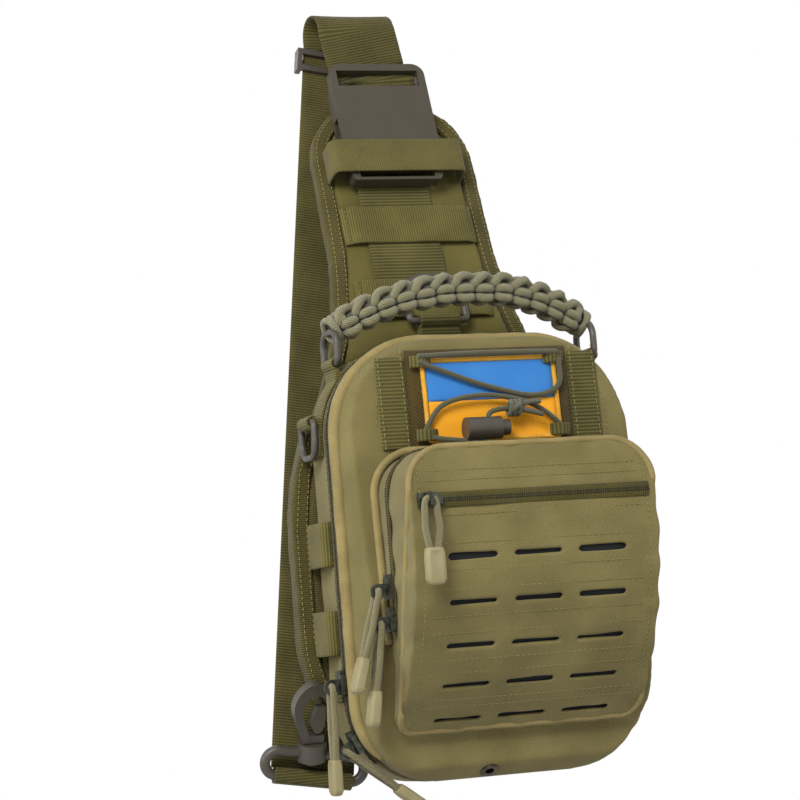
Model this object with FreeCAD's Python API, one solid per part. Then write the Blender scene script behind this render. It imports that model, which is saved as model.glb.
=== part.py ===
import FreeCAD, Part
import math
import os

# A sling bag: a clamshell pack with a front pocket, a padded shoulder yoke,
# a webbing strap with buckle and snap hook, and a braided grab handle.
# Millimetres. X is to the wearer's right, Y runs from the front face to the
# back panel and Z is up. Sizes are laid out from the bottom of the pack and
# every piece is moved at the end so that the hang point is the origin.

V = FreeCAD.Vector
XAXIS, YAXIS, ZAXIS = V(1, 0, 0), V(0, 1, 0), V(0, 0, 1)

# ---- driving dimensions -------------------------------------------------
GAP = 0.6                      # clearance between pieces that move apart
SKIN = 3.0                     # thickness of a sewn, lined fabric wall
WEB = 1.6                      # thickness of webbing
WEB_WIDE = 50.0                # shoulder strap webbing
WEB_MED = 25.4                 # MOLLE and tab webbing

HALF = 88.0                    # half width of the pack
PACK_BOTTOM = 2.0
PACK_TOP = 252.0
LOW_R = 48.0                   # corner radius at the bottom of the pack
HIGH_R = 54.0                  # corner radius at the top of the pack
BACK_Y = -4.0                  # where the pack meets the back panel
ZIP_Y = -40.0                  # plane of the main zip
FRONT_Y = -66.0                # front face at the mid height of the pack
FRONT_LEAN = 0.07              # the front face leans back going up
MID_Z = 126.0
UNDER_Y, UNDER_DEEP, UNDER_RISE = -43.6, 10.9, 8.0   # slanted underside at the front
GROMMET_R, GROMMET_HOLE = 5.2, 2.6
GROMMET_X = -11.0
ZIP_END_Z = 14.0               # the main zip stops above the bottom hinge
COIL = 1.2                     # how far a zip stands off the fabric

BACK_HALF = 102.0              # back panel with its bound edge
BACK_R = 84.0                  # corner radius at the bottom of the back panel
BACK_THICK = 12.0
BACK_LOW_Z = 4.0
BACK_TOP_Z = 211.0
BIND = 10.0                    # width of the edge binding
BIND_OVER = 0.8                # binding stands proud of the pad

YOKE_Z = 211.0                 # height where the yoke leaves the back panel
YOKE_LEAN = 19.9               # degrees that the yoke leans back
YOKE_THICK = 8.0
YOKE_TOP = 430.0               # measured along the leaning yoke
YOKE_HALF = 52.0
FLARE_HALF = 87.0              # half width where the yoke meets the back panel
FOAM_COVER = 2.0               # fabric over the foam

POCKET_X0, POCKET_X1 = -70.0, 75.0
POCKET_LOW, POCKET_HIGH = 29.0, 185.0
POCKET_R = 24.0                # top corner radius of the pocket
POCKET_ZIP_Y = -80.0
PANEL_R = 140.0                # the pocket's front bulges on this radius
PANEL_Y = -117.0               # front of the pocket at mid height
PANEL_SLOPE = 0.105            # slope of the panel at mid height, radians
SLOT_ROWS, SLOT_COLUMNS = 5, 3
SLOT_PITCH, ROW_PITCH = 38.1, 25.4
SLOT_LONG, SLOT_HIGH = 28.3, 3.0

BUCKLE_X = -5.0                # the strap leads off to the left
BUCKLE_HALF = 31.0
BUCKLE_LOW, BUCKLE_HIGH = 392.0, 449.0      # socket, measured along the yoke
SLOT_BAR = 5.0                 # bar above the strap's slot
STRAP_SEAT_Y = -8.7            # back of that bar, where the strap bears
BUCKLE_FRONT, BUCKLE_BACK = -16.0, -4.0     # stands off the yoke
PLUG_LOW = 366.0

LOOP_FRONT_Y, LOOP_REAR_Y = 74.0, 95.4      # strap runs at the hang point
LOOP_X = -14.5
LOOP_SHEAR = -0.15             # the loop leads left as it goes back
STRAP_LEAD = 0.181             # the rear run leads left as it goes down
LOOP_TOP = 473.0
LOOP_FOOT_Z = 429.5            # front run ends in the buckle's slot
STRAP_JOIN_Z = LOOP_TOP - 18.0
RING_X, RING_TILT = -HALF - 9.0, 10.0             # ring at the strap's lower end
RING_WIDE, RING_R = 65.0, 3.0
RING_TOP, RING_LOW = (2.0, 22.0), (6.0, 8.0)    # bars, as (y, z)
HOOK_X = RING_X - 2.0
HOOK_LEAN = 22.0
HOOK_THICK = 7.0

HANDLE_R = 7.0
HANDLE_Y, HANDLE_Z = -20.0, 256.0           # axis that the handle folds about
HANDLE_RING_X = (11.6 - HALF, HALF - 5.4)
RING_BAR = 2.0                 # bar radius of the handle and side rings
RING_HALF = 12.5               # half width of those rings, to the bar's centre
WEB_TAB = 18.6                 # webbing of their tabs
SIDE_RING_X, SIDE_RING_Z = HALF + 5.5, 209.0      # top bar of a side ring
SIDE_RING_Y = HANDLE_Y
PULL_R = 1.9                   # cord of the zip pulls
TIP_LONG, TIP_WIDE, TIP_THICK = 20.0, 11.0, 6.5
EYE_R = PULL_R + 0.4           # hole in a slider's bail
EYE_X, EYE_Z = -7.8, -1.0      # its centre, from the slider's seat
SHOCK_R = 1.5

# underside of the strap's top loop, where the bag hangs
HANG = V(LOOP_X, (LOOP_FRONT_Y + LOOP_REAR_Y) / 2, LOOP_TOP)


# ---- helpers ------------------------------------------------------------
def save(name, *solids):
    """Write one node, moved so that the hang point is the origin."""
    shape = Part.makeCompound(list(solids)) if len(solids) > 1 else solids[0].copy()
    shape.translate(V(0, 0, 0) - HANG)
    shape.exportStep("parts/" + name + ".step")


def block(x0, x1, y0, y1, z0, z1):
    return Part.makeBox(x1 - x0, y1 - y0, z1 - z0, V(x0, y0, z0))


def front_plane(y):
    """Points (across, up) on a plane of constant y."""
    return lambda u, v: V(u, y, v)


def side_plane(x):
    """Points (y, z) on a plane of constant x."""
    return lambda u, v: V(x, u, v)


def outline(plane, start, steps):
    """Closed wire; a step is an end point, or (mid, end) for an arc."""
    edges = []
    here = plane(*start)
    for step in steps:
        if isinstance(step[0], tuple):
            end = plane(*step[1])
            edges.append(Part.Arc(here, plane(*step[0]), end).toShape())
        else:
            end = plane(*step)
            edges.append(Part.LineSegment(here, end).toShape())
        here = end
    if here.distanceToPoint(plane(*start)) > 1e-6:
        edges.append(Part.LineSegment(here, plane(*start)).toShape())
    return Part.Wire(edges)


def solid(wire, along):
    return Part.Face(wire).extrude(along)


def round_rect(plane, x0, x1, z0, z1, low, high):
    """Rectangle with one radius for the two low and one for the two high corners."""
    k = math.sqrt(0.5)
    return outline(plane, (x0 + low, z0), [
        (x1 - low, z0),
        ((x1 - low + k * low, z0 + low - k * low), (x1, z0 + low)),
        (x1, z1 - high),
        ((x1 - high + k * high, z1 - high + k * high), (x1 - high, z1)),
        (x0 + high, z1),
        ((x0 + high - k * high, z1 - high + k * high), (x0, z1 - high)),
        (x0, z0 + low),
        ((x0 + low - k * low, z0 + low - k * low), (x0 + low, z0)),
    ])


def slab(x0, x1, z0, z1, y0, y1, low, high):
    return solid(round_rect(front_plane(y0), x0, x1, z0, z1, low, high), V(0, y1 - y0, 0))


def on_yoke(shape):
    """Lean a piece that was drawn upright on the yoke."""
    leaned = shape.copy()
    leaned.rotate(V(0, 0, YOKE_Z), XAXIS, -YOKE_LEAN)
    return leaned


def pack_outline(y, inset):
    return round_rect(front_plane(y), inset - HALF, HALF - inset, PACK_BOTTOM + inset,
                      PACK_TOP - inset, LOW_R - inset, HIGH_R - inset)


def front_face_y(z):
    return FRONT_Y + FRONT_LEAN * (z - MID_Z)


def front_profile(inset):
    """Side profile of the front half, seen along X, grown by -inset."""
    top = PACK_TOP - inset
    low = PACK_BOTTOM + inset
    rear = ZIP_Y - GAP + (1.0 if inset else 0.0)
    fore = front_face_y(top) + inset
    return solid(outline(side_plane(-HALF - 1), (rear, low), [
        (UNDER_Y, low),
        (UNDER_Y - UNDER_DEEP + inset, low + UNDER_RISE),
        (UNDER_Y - UNDER_DEEP - 1.0 + inset, 26.0),
        ((front_face_y(40) + 8.2 + inset, 41.0), (front_face_y(64) + inset, 64.0)),
        (fore, top - 9.0),
        ((fore + 3.0, top - 2.5), (fore + 9.0, top)),
        (rear, top),
    ]), V(2 * HALF + 2, 0, 0))


# ---- rear half of the pack ----------------------------------------------
def rear_shell():
    outer = solid(pack_outline(ZIP_Y, 0), V(0, BACK_Y - ZIP_Y, 0))
    inner = solid(pack_outline(ZIP_Y - 1, SKIN), V(0, BACK_Y - SKIN - ZIP_Y + 1, 0))
    return outer.cut(inner)


def zip_band(y0, y1):
    """Zip tape and coil over the sides and top, standing off the fabric."""
    outer = solid(pack_outline(y0, -COIL), V(0, y1 - y0, 0))
    inner = solid(pack_outline(y0 - 1, 0), V(0, y1 - y0 + 2, 0))
    below = block(-HALF - 5, HALF + 5, y0 - 1, y1 + 1, PACK_BOTTOM - 5, ZIP_END_Z)
    return outer.cut(inner).cut(below)


def back_outline(inset):
    wide = BACK_HALF - inset
    r = BACK_R - inset
    k = math.sqrt(0.5)
    z0 = BACK_LOW_Z + inset
    return outline(front_plane(BACK_Y), (r - wide, z0), [
        (wide - r, z0),
        ((wide - r + k * r, z0 + r - k * r), (wide, z0 + r)),
        (wide, 150.0),
        ((wide - 4.5, 182.0), (FLARE_HALF - inset, BACK_TOP_Z)),
        (inset - FLARE_HALF, BACK_TOP_Z),
        ((4.5 - wide, 182.0), (-wide, 150.0)),
        (-wide, z0 + r),
        ((r - wide - k * r, z0 + r - k * r), (r - wide, z0)),
    ])


def back_panel():
    return solid(back_outline(BIND), V(0, BACK_THICK, 0)).cut(back_foam())


def back_binding():
    rim = solid(back_outline(0), V(0, BACK_THICK + BIND_OVER, 0))
    return rim.cut(solid(back_outline(BIND), V(0, BACK_THICK + BIND_OVER, 0)))


def back_foam():
    inside = solid(back_outline(BIND + 3.0), V(0, BACK_THICK - 2 * FOAM_COVER, 0))
    inside.translate(V(0, FOAM_COVER, 0))
    top = block(-BACK_HALF, BACK_HALF, BACK_Y, BACK_Y + BACK_THICK, BACK_TOP_Z - 8, BACK_TOP_Z + 1)
    return inside.cut(top)


def yoke_outline(inset, y):
    low = YOKE_Z + 3.0
    top = YOKE_TOP - inset
    r = 42.0 - inset
    k = math.sqrt(0.5)
    half = YOKE_HALF - inset
    right = [(FLARE_HALF - 2.0 - inset, low), (69.0 - inset, 246.0), (58.5 - inset, 280.0)]
    return outline(front_plane(y), (-right[0][0], low), [
        right[0],
        (right[1], right[2]),
        (half + 1.0, 320.0),
        (half, top - r),
        ((half - r + k * r, top - r + k * r), (half - r, top)),
        (r - half, top),
        ((r - half - k * r, top - r + k * r), (-half, top - r)),
        (-half - 1.0, 320.0),
        (-right[2][0], right[2][1]),
        ((-right[1][0], right[1][1]), (-right[0][0], low)),
    ])


def yoke_pad():
    return on_yoke(solid(yoke_outline(BIND, 0), V(0, YOKE_THICK, 0)).cut(yoke_foam_upright()))


def yoke_foam_upright():
    inside = solid(yoke_outline(BIND + 3.0, FOAM_COVER), V(0, YOKE_THICK - 2 * FOAM_COVER, 0))
    below = block(-BACK_HALF, BACK_HALF, 0, YOKE_THICK, YOKE_Z, YOKE_Z + 12)
    return inside.cut(below)


def yoke_binding():
    rim = solid(yoke_outline(0, -BIND_OVER), V(0, YOKE_THICK + 2 * BIND_OVER, 0))
    return on_yoke(rim.cut(solid(yoke_outline(BIND, -2), V(0, YOKE_THICK + 4, 0))))


# ---- front half of the pack ---------------------------------------------
def front_envelope(inset):
    """Rounded outline that narrows a little from the zip to the front face."""
    rear = round_rect(front_plane(ZIP_Y - GAP + (1.0 if inset else 0.0)), inset - HALF, HALF - inset,
                      PACK_BOTTOM + inset, PACK_TOP - inset, LOW_R - inset, HIGH_R - inset)
    fore = round_rect(front_plane(-80.0), inset - HALF + 12.0, HALF - 4.0 - inset,
                      PACK_BOTTOM + inset, PACK_TOP - 3.0 - inset, LOW_R - inset, HIGH_R - inset)
    return Part.makeLoft([rear, fore], True, True)


def front_shell():
    outer = front_envelope(0).common(front_profile(0))
    hollow = outer.cut(front_envelope(SKIN).common(front_profile(SKIN)))
    return hollow.cut(on_underside(Part.makeCylinder(GROMMET_HOLE + 0.8, 20.0, V(0, 0, -10))))


def on_underside(shape):
    """Place a piece drawn about Z, outside face up, on the slanted underside."""
    slant = math.degrees(math.atan2(UNDER_RISE, UNDER_DEEP))
    moved = shape.copy()
    moved.rotate(V(0, 0, 0), XAXIS, 180.0 - slant)
    moved.translate(V(GROMMET_X, UNDER_Y - UNDER_DEEP / 2, PACK_BOTTOM + UNDER_RISE / 2))
    return moved


def grommet():
    barrel = Part.makeCylinder(GROMMET_HOLE + 0.8, SKIN + 1.6, V(0, 0, -SKIN - 0.8))
    flanges = [Part.makeCylinder(GROMMET_R, 0.8, V(0, 0, z)) for z in (0, -SKIN - 0.8)]
    hole = Part.makeCylinder(GROMMET_HOLE, 20.0, V(0, 0, -10))
    return on_underside(barrel.fuse(flanges).cut(hole))


def front_skin(thick, x0, x1, z0, z1, lift=0.0):
    """Flat piece lying on the front face."""
    low, high = front_face_y(z0), front_face_y(z1)
    return solid(outline(side_plane(x0), (low - lift, z0), [
        (low - lift - thick, z0), (high - lift - thick, z1), (high - lift, z1)]), V(x1 - x0, 0, 0))


def bulge(extra):
    """Cylinder whose surface is the pocket's front, grown by extra."""
    cy = PANEL_Y + PANEL_R * math.cos(PANEL_SLOPE)
    cz = MID_Z + PANEL_R * math.sin(PANEL_SLOPE)
    return V(0, cy, cz), Part.makeCylinder(PANEL_R + extra, 200, V(-100, cy, cz), XAXIS)


def pocket_slab(inset, y0, y1):
    return slab(POCKET_X0 + inset, POCKET_X1 - inset, POCKET_LOW + inset, POCKET_HIGH - inset,
                y0, y1, 10.0 - inset, POCKET_R - inset)


def pocket_gusset():
    inside = bulge(-SKIN - GAP)[1]
    wall = pocket_slab(0, POCKET_ZIP_Y, -60.0).cut(pocket_slab(SKIN, POCKET_ZIP_Y - 1, -59.0))
    return wall.common(inside).cut(front_envelope(0).common(front_profile(0)))


def pocket_panel():
    thick = 2.4
    cut_y = POCKET_ZIP_Y - GAP
    outer = pocket_slab(0, -130.0, -50.0).common(bulge(0)[1])
    inner = pocket_slab(thick, -131.0, -49.0).common(bulge(-thick)[1])
    rear = block(-90, 90, cut_y, -40, 0, 250).common(bulge(-thick)[1])
    lid = outer.cut(inner).cut(rear)
    above = block(-90, 90, cut_y, -40, MID_Z, 250)
    return lid.cut(above).cut(Part.makeCompound(slot_cutters()))


def slot_cutters():
    """Laser-cut slots, row under row along the bulge."""
    centre = bulge(0)[0]
    cutters = []
    for row in range(SLOT_ROWS):
        slope = PANEL_SLOPE + (2.0 + row * ROW_PITCH) / PANEL_R
        for column in range(SLOT_COLUMNS):
            x = (POCKET_X0 + POCKET_X1) / 2 + (column - 1) * SLOT_PITCH
            slot = slab(x - SLOT_LONG / 2, x + SLOT_LONG / 2, centre.z - SLOT_HIGH / 2,
                        centre.z + SLOT_HIGH / 2, centre.y - PANEL_R - 4, centre.y - PANEL_R + 8,
                        1.49, 1.49)
            slot.rotate(centre, XAXIS, math.degrees(slope))
            cutters.append(slot)
    return cutters


def slot_backing():
    layer = bulge(-2.4)[1].cut(bulge(-3.4)[1])
    return layer.common(pocket_slab(6.0, -130.0, -50.0)).common(block(-90, 90, -130, -50, 33, 140))


def front_zip():
    band = bulge(COIL)[1].cut(bulge(0)[1])
    return band.common(block(POCKET_X0 + 3, POCKET_X1 - 4, -130, -90, 151, 159))


def side_zip():
    """Zip round the pocket's sides and top, on the lid's edge."""
    y0 = POCKET_ZIP_Y - GAP - 4.0
    outer = slab(POCKET_X0 - COIL, POCKET_X1 + COIL, POCKET_LOW, POCKET_HIGH + COIL, y0, y0 + 4.0,
                 10.0, POCKET_R + COIL)
    ring = outer.cut(pocket_slab(0, y0 - 1, y0 + 5))
    return ring.cut(block(-90, 90, y0 - 1, y0 + 5, 0, 88.0))


# ---- front panel fittings ------------------------------------------------
PATCH = (-37.0, 44.0, 191.0, 238.0)         # x0, x1, z0, z1


def patch_fittings():
    x0, x1, z0, z1 = PATCH
    lift = 1.2
    field = front_skin(lift, x0 - 9, x1 + 8, z0 - 3, z1 + 6)
    patch = front_skin(2.0, x0, x1, z0, z1, lift)
    strips = [front_skin(WEB, x, x + 17.0, 188.0, 244.0) for x in (x0 - 27.0, x1 + 9.0)]
    save("loop_field", field)
    save("patch", patch)
    save("field_webbing", *strips)
    tabs = []
    for x in (x0 - 7.0, x1 - 7.0):
        for z in (z0 + 1.0, z1 - 4.0):
            tabs.append(front_skin(5.0, x, x + 12.0, z, z + 6.0, lift + 2.1))
    save("cord_tabs", *tabs)


# ---- cords, rings and rods ----------------------------------------------
def tube_path(points, radii):
    """Straight runs joined by tangent arcs."""
    edges = []
    here = points[0]
    for before, at, after, r in zip(points, points[1:], points[2:], radii):
        u = (before - at).normalize()
        w = (after - at).normalize()
        half = u.getAngle(w) / 2
        reach = r / math.tan(half)
        start = at + u * reach
        end = at + w * reach
        bisector = (u + w).normalize()
        mid = at + bisector * (r / math.sin(half) - r)
        if here.distanceToPoint(start) > 1e-6:
            edges.append(Part.LineSegment(here, start).toShape())
        edges.append(Part.Arc(start, mid, end).toShape())
        here = end
    edges.append(Part.LineSegment(here, points[-1]).toShape())
    return Part.Wire(edges)


def tube(points, radii, r):
    path = tube_path(points, radii)
    along = (points[1] - points[0]).normalize()
    section = Part.Wire(Part.Circle(points[0], along, r).toShape())
    return path.makePipeShell([section], True, True)


def ring_xz(x0, x1, y, z0, z1, r, bend_low, bend_high):
    """Ring of round bar in a plane of constant y, with a bend radius low and high."""
    mid = (x0 + x1) / 2
    low = [V(mid, y, z0), V(x0, y, z0), V(x0, y, z1), V(mid, y, z1)]
    high = [V(mid, y, z1), V(x1, y, z1), V(x1, y, z0), V(mid, y, z0)]
    return tube(low, [bend_low, bend_high], r).fuse(tube(high, [bend_high, bend_low], r))


def ring_yz(x, y0, y1, z0, z1, r, bend_low, bend_high):
    """The same ring in a plane of constant x."""
    upright = ring_xz(y0, y1, 0, z0, z1, r, bend_low, bend_high)
    upright.rotate(V(0, 0, 0), ZAXIS, 90)
    upright.translate(V(x, 0, 0))
    return upright


# ---- zip sliders and pulls ------------------------------------------------
def slider(crosswise=False):
    """Slider upright at the origin: plate in the YZ plane, bail towards -X."""
    plate = block(-3.2, 0, -4.0, 4.0, -5.5, 5.5)
    nose = block(-3.2, 0, -2.5, 2.5, 5.5, 8.0)
    bail = Part.makeCylinder(EYE_R + 1.8, 2.0, V(EYE_X, -1.0, EYE_Z), YAXIS)
    neck = block(EYE_X, -3.2, -1.0, 1.0, 0.5 + EYE_Z, 4.2 + EYE_Z)
    bail = bail.fuse(neck).cut(Part.makeCylinder(EYE_R, 4.0, V(EYE_X, -2.0, EYE_Z), YAXIS))
    if crosswise:
        bail.rotate(V(0, 0, EYE_Z), XAXIS, 90.0)
    return plate.fuse([nose, bail])


def pull(length, spread=3.4):
    """Cord looped through the bail at the origin, hanging down to a moulded tip."""
    close = 2.3
    low = -length + TIP_LONG
    cord = tube([V(0, -close, low), V(0, -spread, -8.0), V(0, -spread, 0), V(0, 0, 0)],
                [12.0, 2.4], PULL_R)
    other = tube([V(0, close, low), V(0, spread, -8.0), V(0, spread, 0), V(0, 0, 0)],
                 [12.0, 2.4], PULL_R)
    tip = block(-TIP_THICK / 2, TIP_THICK / 2, -TIP_WIDE / 2, TIP_WIDE / 2, -length, low)
    tip = tip.makeFillet(2.0, [e for e in tip.Edges if abs(e.tangentAt(e.FirstParameter).z) > 0.9])
    return [cord.fuse(other), tip]


def placed(shape, at, turn=0.0, tilt=0.0, lean=0.0):
    """Turn about Z, tilt about Y, lean about X, then move to a place."""
    moved = shape.copy()
    moved.rotate(V(0, 0, 0), YAXIS, tilt)
    moved.rotate(V(0, 0, 0), XAXIS, lean)
    moved.rotate(V(0, 0, 0), ZAXIS, turn)
    moved.translate(at)
    return moved


SLIDERS = {
    # name: slider place, turn and tilt of the slider, tilt of the pull, pull length
    "main_upper": (V(-HALF - COIL - GAP, ZIP_Y - GAP / 2, 60.0), 0.0, 0.0, 1.5, 60.0),
    "main_lower": (V(3.4 - HALF, ZIP_Y - GAP / 2, 27.2), 0.0, -27.0, -52.0, 56.0),
    "pocket_upper": (V(POCKET_X0 - COIL - GAP, POCKET_ZIP_Y - GAP / 2, 110.0), 0.0, 0.0, 17.0, 57.0),
    "pocket_lower": (V(POCKET_X0 - COIL - GAP, POCKET_ZIP_Y - GAP / 2, 92.0), 0.0, 0.0, 9.0, 56.0),
}


def bail_of(place, turn, tilt):
    """Centre of the bail's eye of a placed slider."""
    eye = Part.Vertex(V(EYE_X, 0, EYE_Z))
    return placed(eye, place, turn, tilt).Point


def zip_hardware():
    for name, (place, turn, tilt, pull_tilt, length) in SLIDERS.items():
        save(name + "_slider", placed(slider(), place, turn, tilt))
        eye = bail_of(place, turn, tilt)
        save(name + "_pull", *[placed(s, eye, turn, pull_tilt) for s in pull(length)])
    front = V(POCKET_X0 + 9.0, PANEL_Y - COIL - GAP - 0.6, 155.0)
    across = placed(slider(True), V(0, 0, 0), 0.0, 0.0, 90.0)
    across.rotate(V(0, 0, 0), ZAXIS, 90.0)
    across.translate(front)
    save("front_slider", across)
    eye = front + V(EYE_Z, EYE_X, 0)
    save("front_pull", *[placed(s, eye, 90.0) for s in pull(46.0)])


# ---- grab handle and side rings -------------------------------------------
def handle():
    braid = tube([V(-72.9, HANDLE_Y - 2, 262), V(-52, HANDLE_Y - 5, 273), V(-25, HANDLE_Y - 9, 281),
                  V(5, HANDLE_Y - 10, 283.5), V(35, HANDLE_Y - 9, 281.5), V(62, HANDLE_Y - 5, 272),
                  V(79.0, HANDLE_Y - 2, 261)],
                 [60.0, 90.0, 140.0, 110.0, 45.0], HANDLE_R)
    rings = [ring_yz(x, HANDLE_Y - RING_HALF, HANDLE_Y + RING_HALF, HANDLE_Z - 14, HANDLE_Z + 5,
                     RING_BAR, 3.0, 9.0)
             for x in HANDLE_RING_X]
    save("handle_braid", braid)
    save("handle_rings", *rings)



def sleeve(at, axis, length, bar_r):
    """Webbing folded round a bar, centred at a point."""
    start = at - axis * (length / 2)
    return Part.makeCylinder(bar_r + 0.3 + WEB, length, start, axis).cut(
        Part.makeCylinder(bar_r + 0.3, length, start, axis))


def side_tabs():
    """Webbing over each top corner, folded round a handle ring and a side ring."""
    y0, y1 = SIDE_RING_Y - WEB_TAB / 2, SIDE_RING_Y + WEB_TAB / 2
    over = solid(pack_outline(y0, -WEB), V(0, y1 - y0, 0))
    over = over.cut(solid(pack_outline(y0 - 1, 0), V(0, y1 - y0 + 2, 0)))
    tabs = []
    for side, ring_x in ((-1, HANDLE_RING_X[0]), (1, HANDLE_RING_X[1])):
        near, far = sorted((side * 66.0, side * 95.0))
        band = over.common(block(near, far, y0 - 1, y1 + 1, SIDE_RING_Z - 20, 250))
        low_bar = HANDLE_Z - 14
        upper = sleeve(V(ring_x, HANDLE_Y, low_bar), YAXIS, y1 - y0, RING_BAR)
        stem = block(ring_x - WEB, ring_x + WEB, y0, y1, 224.0,
                     low_bar - RING_BAR - 1.0)
        stem = stem.cut(solid(pack_outline(-50, 0), V(0, 50, 0)))
        x = side * SIDE_RING_X
        lower = sleeve(V(x, SIDE_RING_Y, SIDE_RING_Z), YAXIS, y1 - y0, RING_BAR)
        inner, outer = sorted((side * (HALF + 0.2), x - side * 3.0))
        web = block(inner, outer, y0, y1, SIDE_RING_Z - WEB, SIDE_RING_Z + WEB)
        tabs.append(band.fuse([upper, stem, lower, web]))
    save("side_tabs", *tabs)
    for name, side in (("left", -1), ("right", 1)):
        ring = ring_yz(side * SIDE_RING_X, SIDE_RING_Y - RING_HALF, SIDE_RING_Y + RING_HALF,
                       SIDE_RING_Z - 20, SIDE_RING_Z, RING_BAR, 9.0, 3.0)
        save(name + "_side_ring", ring)


def side_webbing():
    """Two MOLLE loops on each side and a folded tab at the lower left."""
    loops = []
    for side in (-1, 1):
        for top in (151.6, 101.6):
            outer, inner = side * (HALF + 5.0 + WEB), side * (HALF + 5.0)
            x0, x1 = sorted((outer, inner))
            plate = block(x0, x1, -33.0, -4.6, top - WEB_MED, top)
            feet = []
            for y in (-33.0, -6.2):
                f0, f1 = sorted((inner, side * HALF))
                feet.append(block(f0, f1, y, y + WEB, top - WEB_MED, top))
            loops.append(plate.fuse(feet))
    save("side_webbing", *loops)
    save("anchor_tab", block(-HALF - WEB - 0.1, -HALF - 0.1, -34.5, -22.5, 50.0, 68.0))


# ---- yoke fittings and buckle ----------------------------------------------
def yoke_fittings():
    x0, x1 = BUCKLE_X - WEB_WIDE / 2, BUCKLE_X + WEB_WIDE / 2
    ladder = block(x0 + 2, x1 - 2, -2.4, -0.4, 280.0, 374.0)
    lower = block(4 - WEB_MED / 2, 4 + WEB_MED / 2, -2.4, -0.4, 219.0, 280.0)
    fold = block(x0 + 2, x1 - 2, -6.0, -2.4, 368.0, 374.0)
    save("yoke_ladder_webbing", on_yoke(ladder.fuse([lower, fold])))
    crosses = []
    for top in (353.5, 302.5):
        low = top - WEB_MED
        plate = block(-42, 42, -2.6 - WEB, -2.6, low, top)
        ends = [block(x, x + 4, -2.6, -0.1, low, top) for x in (-42, 38)]
        crosses.append(on_yoke(plate.fuse(ends)))
    save("yoke_cross_webbing", *crosses)
    front = BUCKLE_FRONT - GAP
    keeper = block(-46, 40, front - WEB, front, 370.5, 393.0)
    legs = [block(x, x + WEB, front, -1.0, 370.5, 393.0) for x in (-46.0, 40.0 - WEB)]
    save("elastic_keeper", on_yoke(keeper.fuse(legs)))
    bar = V(4.0, -7.4, 272.0)
    tab = sleeve(bar, XAXIS, WEB_MED, 2.2)
    tail = block(4 - WEB_MED / 2, 4 + WEB_MED / 2, -7.4, -2.4, 252.0, 269.0)
    save("yoke_ring_tab", on_yoke(tab.fuse(tail)))
    save("yoke_ring", on_yoke(ring_xz(-14.0, 22.0, -7.4, 272.0, 302.0, 2.2, 3.0, 14.0)))


def buckle():
    mid = (BUCKLE_FRONT + BUCKLE_BACK) / 2
    body = slab(BUCKLE_X - BUCKLE_HALF, BUCKLE_X + BUCKLE_HALF, BUCKLE_LOW, BUCKLE_HIGH,
                BUCKLE_FRONT, BUCKLE_BACK, 3.0, 8.0)
    slot_high = BUCKLE_HIGH - SLOT_BAR
    slot_low = slot_high - 11.0
    slot_half = WEB_WIDE / 2 + 1.5
    slot = block(BUCKLE_X - slot_half, BUCKLE_X + slot_half, -20, 0, slot_low, slot_high)
    cavity = block(BUCKLE_X - 27, BUCKLE_X + 27, mid - 3.4, mid + 3.4, BUCKLE_LOW - 1, BUCKLE_LOW + 25.0)
    windows = block(BUCKLE_X - 40, BUCKLE_X + 40, mid - 3.4, mid + 3.4, BUCKLE_LOW + 6.0, BUCKLE_LOW + 19.0)
    behind = block(BUCKLE_X - BUCKLE_HALF - 3, BUCKLE_X + WEB_WIDE / 2 + 3, STRAP_SEAT_Y, 0,
                   slot_low, BUCKLE_HIGH + 1)
    save("buckle_socket", on_yoke(body.cut(slot).cut(behind).cut(cavity).cut(windows)))
    base = slab(BUCKLE_X - 29, BUCKLE_X + 29, PLUG_LOW, BUCKLE_LOW - 0.4, mid - 5, mid + 3.4, 3.0, 3.0)
    base = base.cut(block(BUCKLE_X - 24, BUCKLE_X + 24, -20, 0, PLUG_LOW + 1.9, PLUG_LOW + 8.1))
    tongue = block(BUCKLE_X - 6, BUCKLE_X + 6, mid - 2.8, mid + 2.8, BUCKLE_LOW - 2, BUCKLE_LOW + 22.0)
    save("buckle_plug", on_yoke(base.fuse(tongue)))
    for name, side in (("left", -1), ("right", 1)):
        low = BUCKLE_LOW + 0.4
        arm = outline(front_plane(mid - 2.8), (BUCKLE_X + side * 15, low), [
            (BUCKLE_X + side * 21, low),
            (BUCKLE_X + side * 25, BUCKLE_LOW + 12.0),
            (BUCKLE_X + side * 22, BUCKLE_LOW + 21.5),
            (BUCKLE_X + side * 16, BUCKLE_LOW + 21.5)])
        save("buckle_arm_" + name, on_yoke(solid(arm, V(0, 5.6, 0))))


# ---- shoulder strap ---------------------------------------------------------
def shear_x(shape, about_y, by_y, about_z=0.0, by_z=0.0):
    m = FreeCAD.Matrix()
    m.A12, m.A13 = by_y, by_z
    m.A14 = -by_y * about_y - by_z * about_z
    return shape.transformGeometry(m)


def strap_top():
    """Webbing from the buckle's bar over the hang point to the rear run."""
    mid = (LOOP_FRONT_Y + LOOP_REAR_Y) / 2
    r = (LOOP_REAR_Y - LOOP_FRONT_Y) / 2
    centre_z = LOOP_TOP + WEB - (r + WEB / 2)
    out, ins = r + WEB / 2, r - WEB / 2
    profile = outline(side_plane(LOOP_X - WEB_WIDE / 2), (mid - out, LOOP_FOOT_Z), [
        (mid - out, centre_z),
        ((mid, centre_z + out), (mid + out, centre_z)),
        (mid + out, STRAP_JOIN_Z),
        (mid + ins, STRAP_JOIN_Z),
        (mid + ins, centre_z),
        ((mid, centre_z + ins), (mid - ins, centre_z)),
        (mid - ins, LOOP_FOOT_Z)])
    return shear_x(solid(profile, V(WEB_WIDE, 0, 0)), mid, LOOP_SHEAR)


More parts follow.
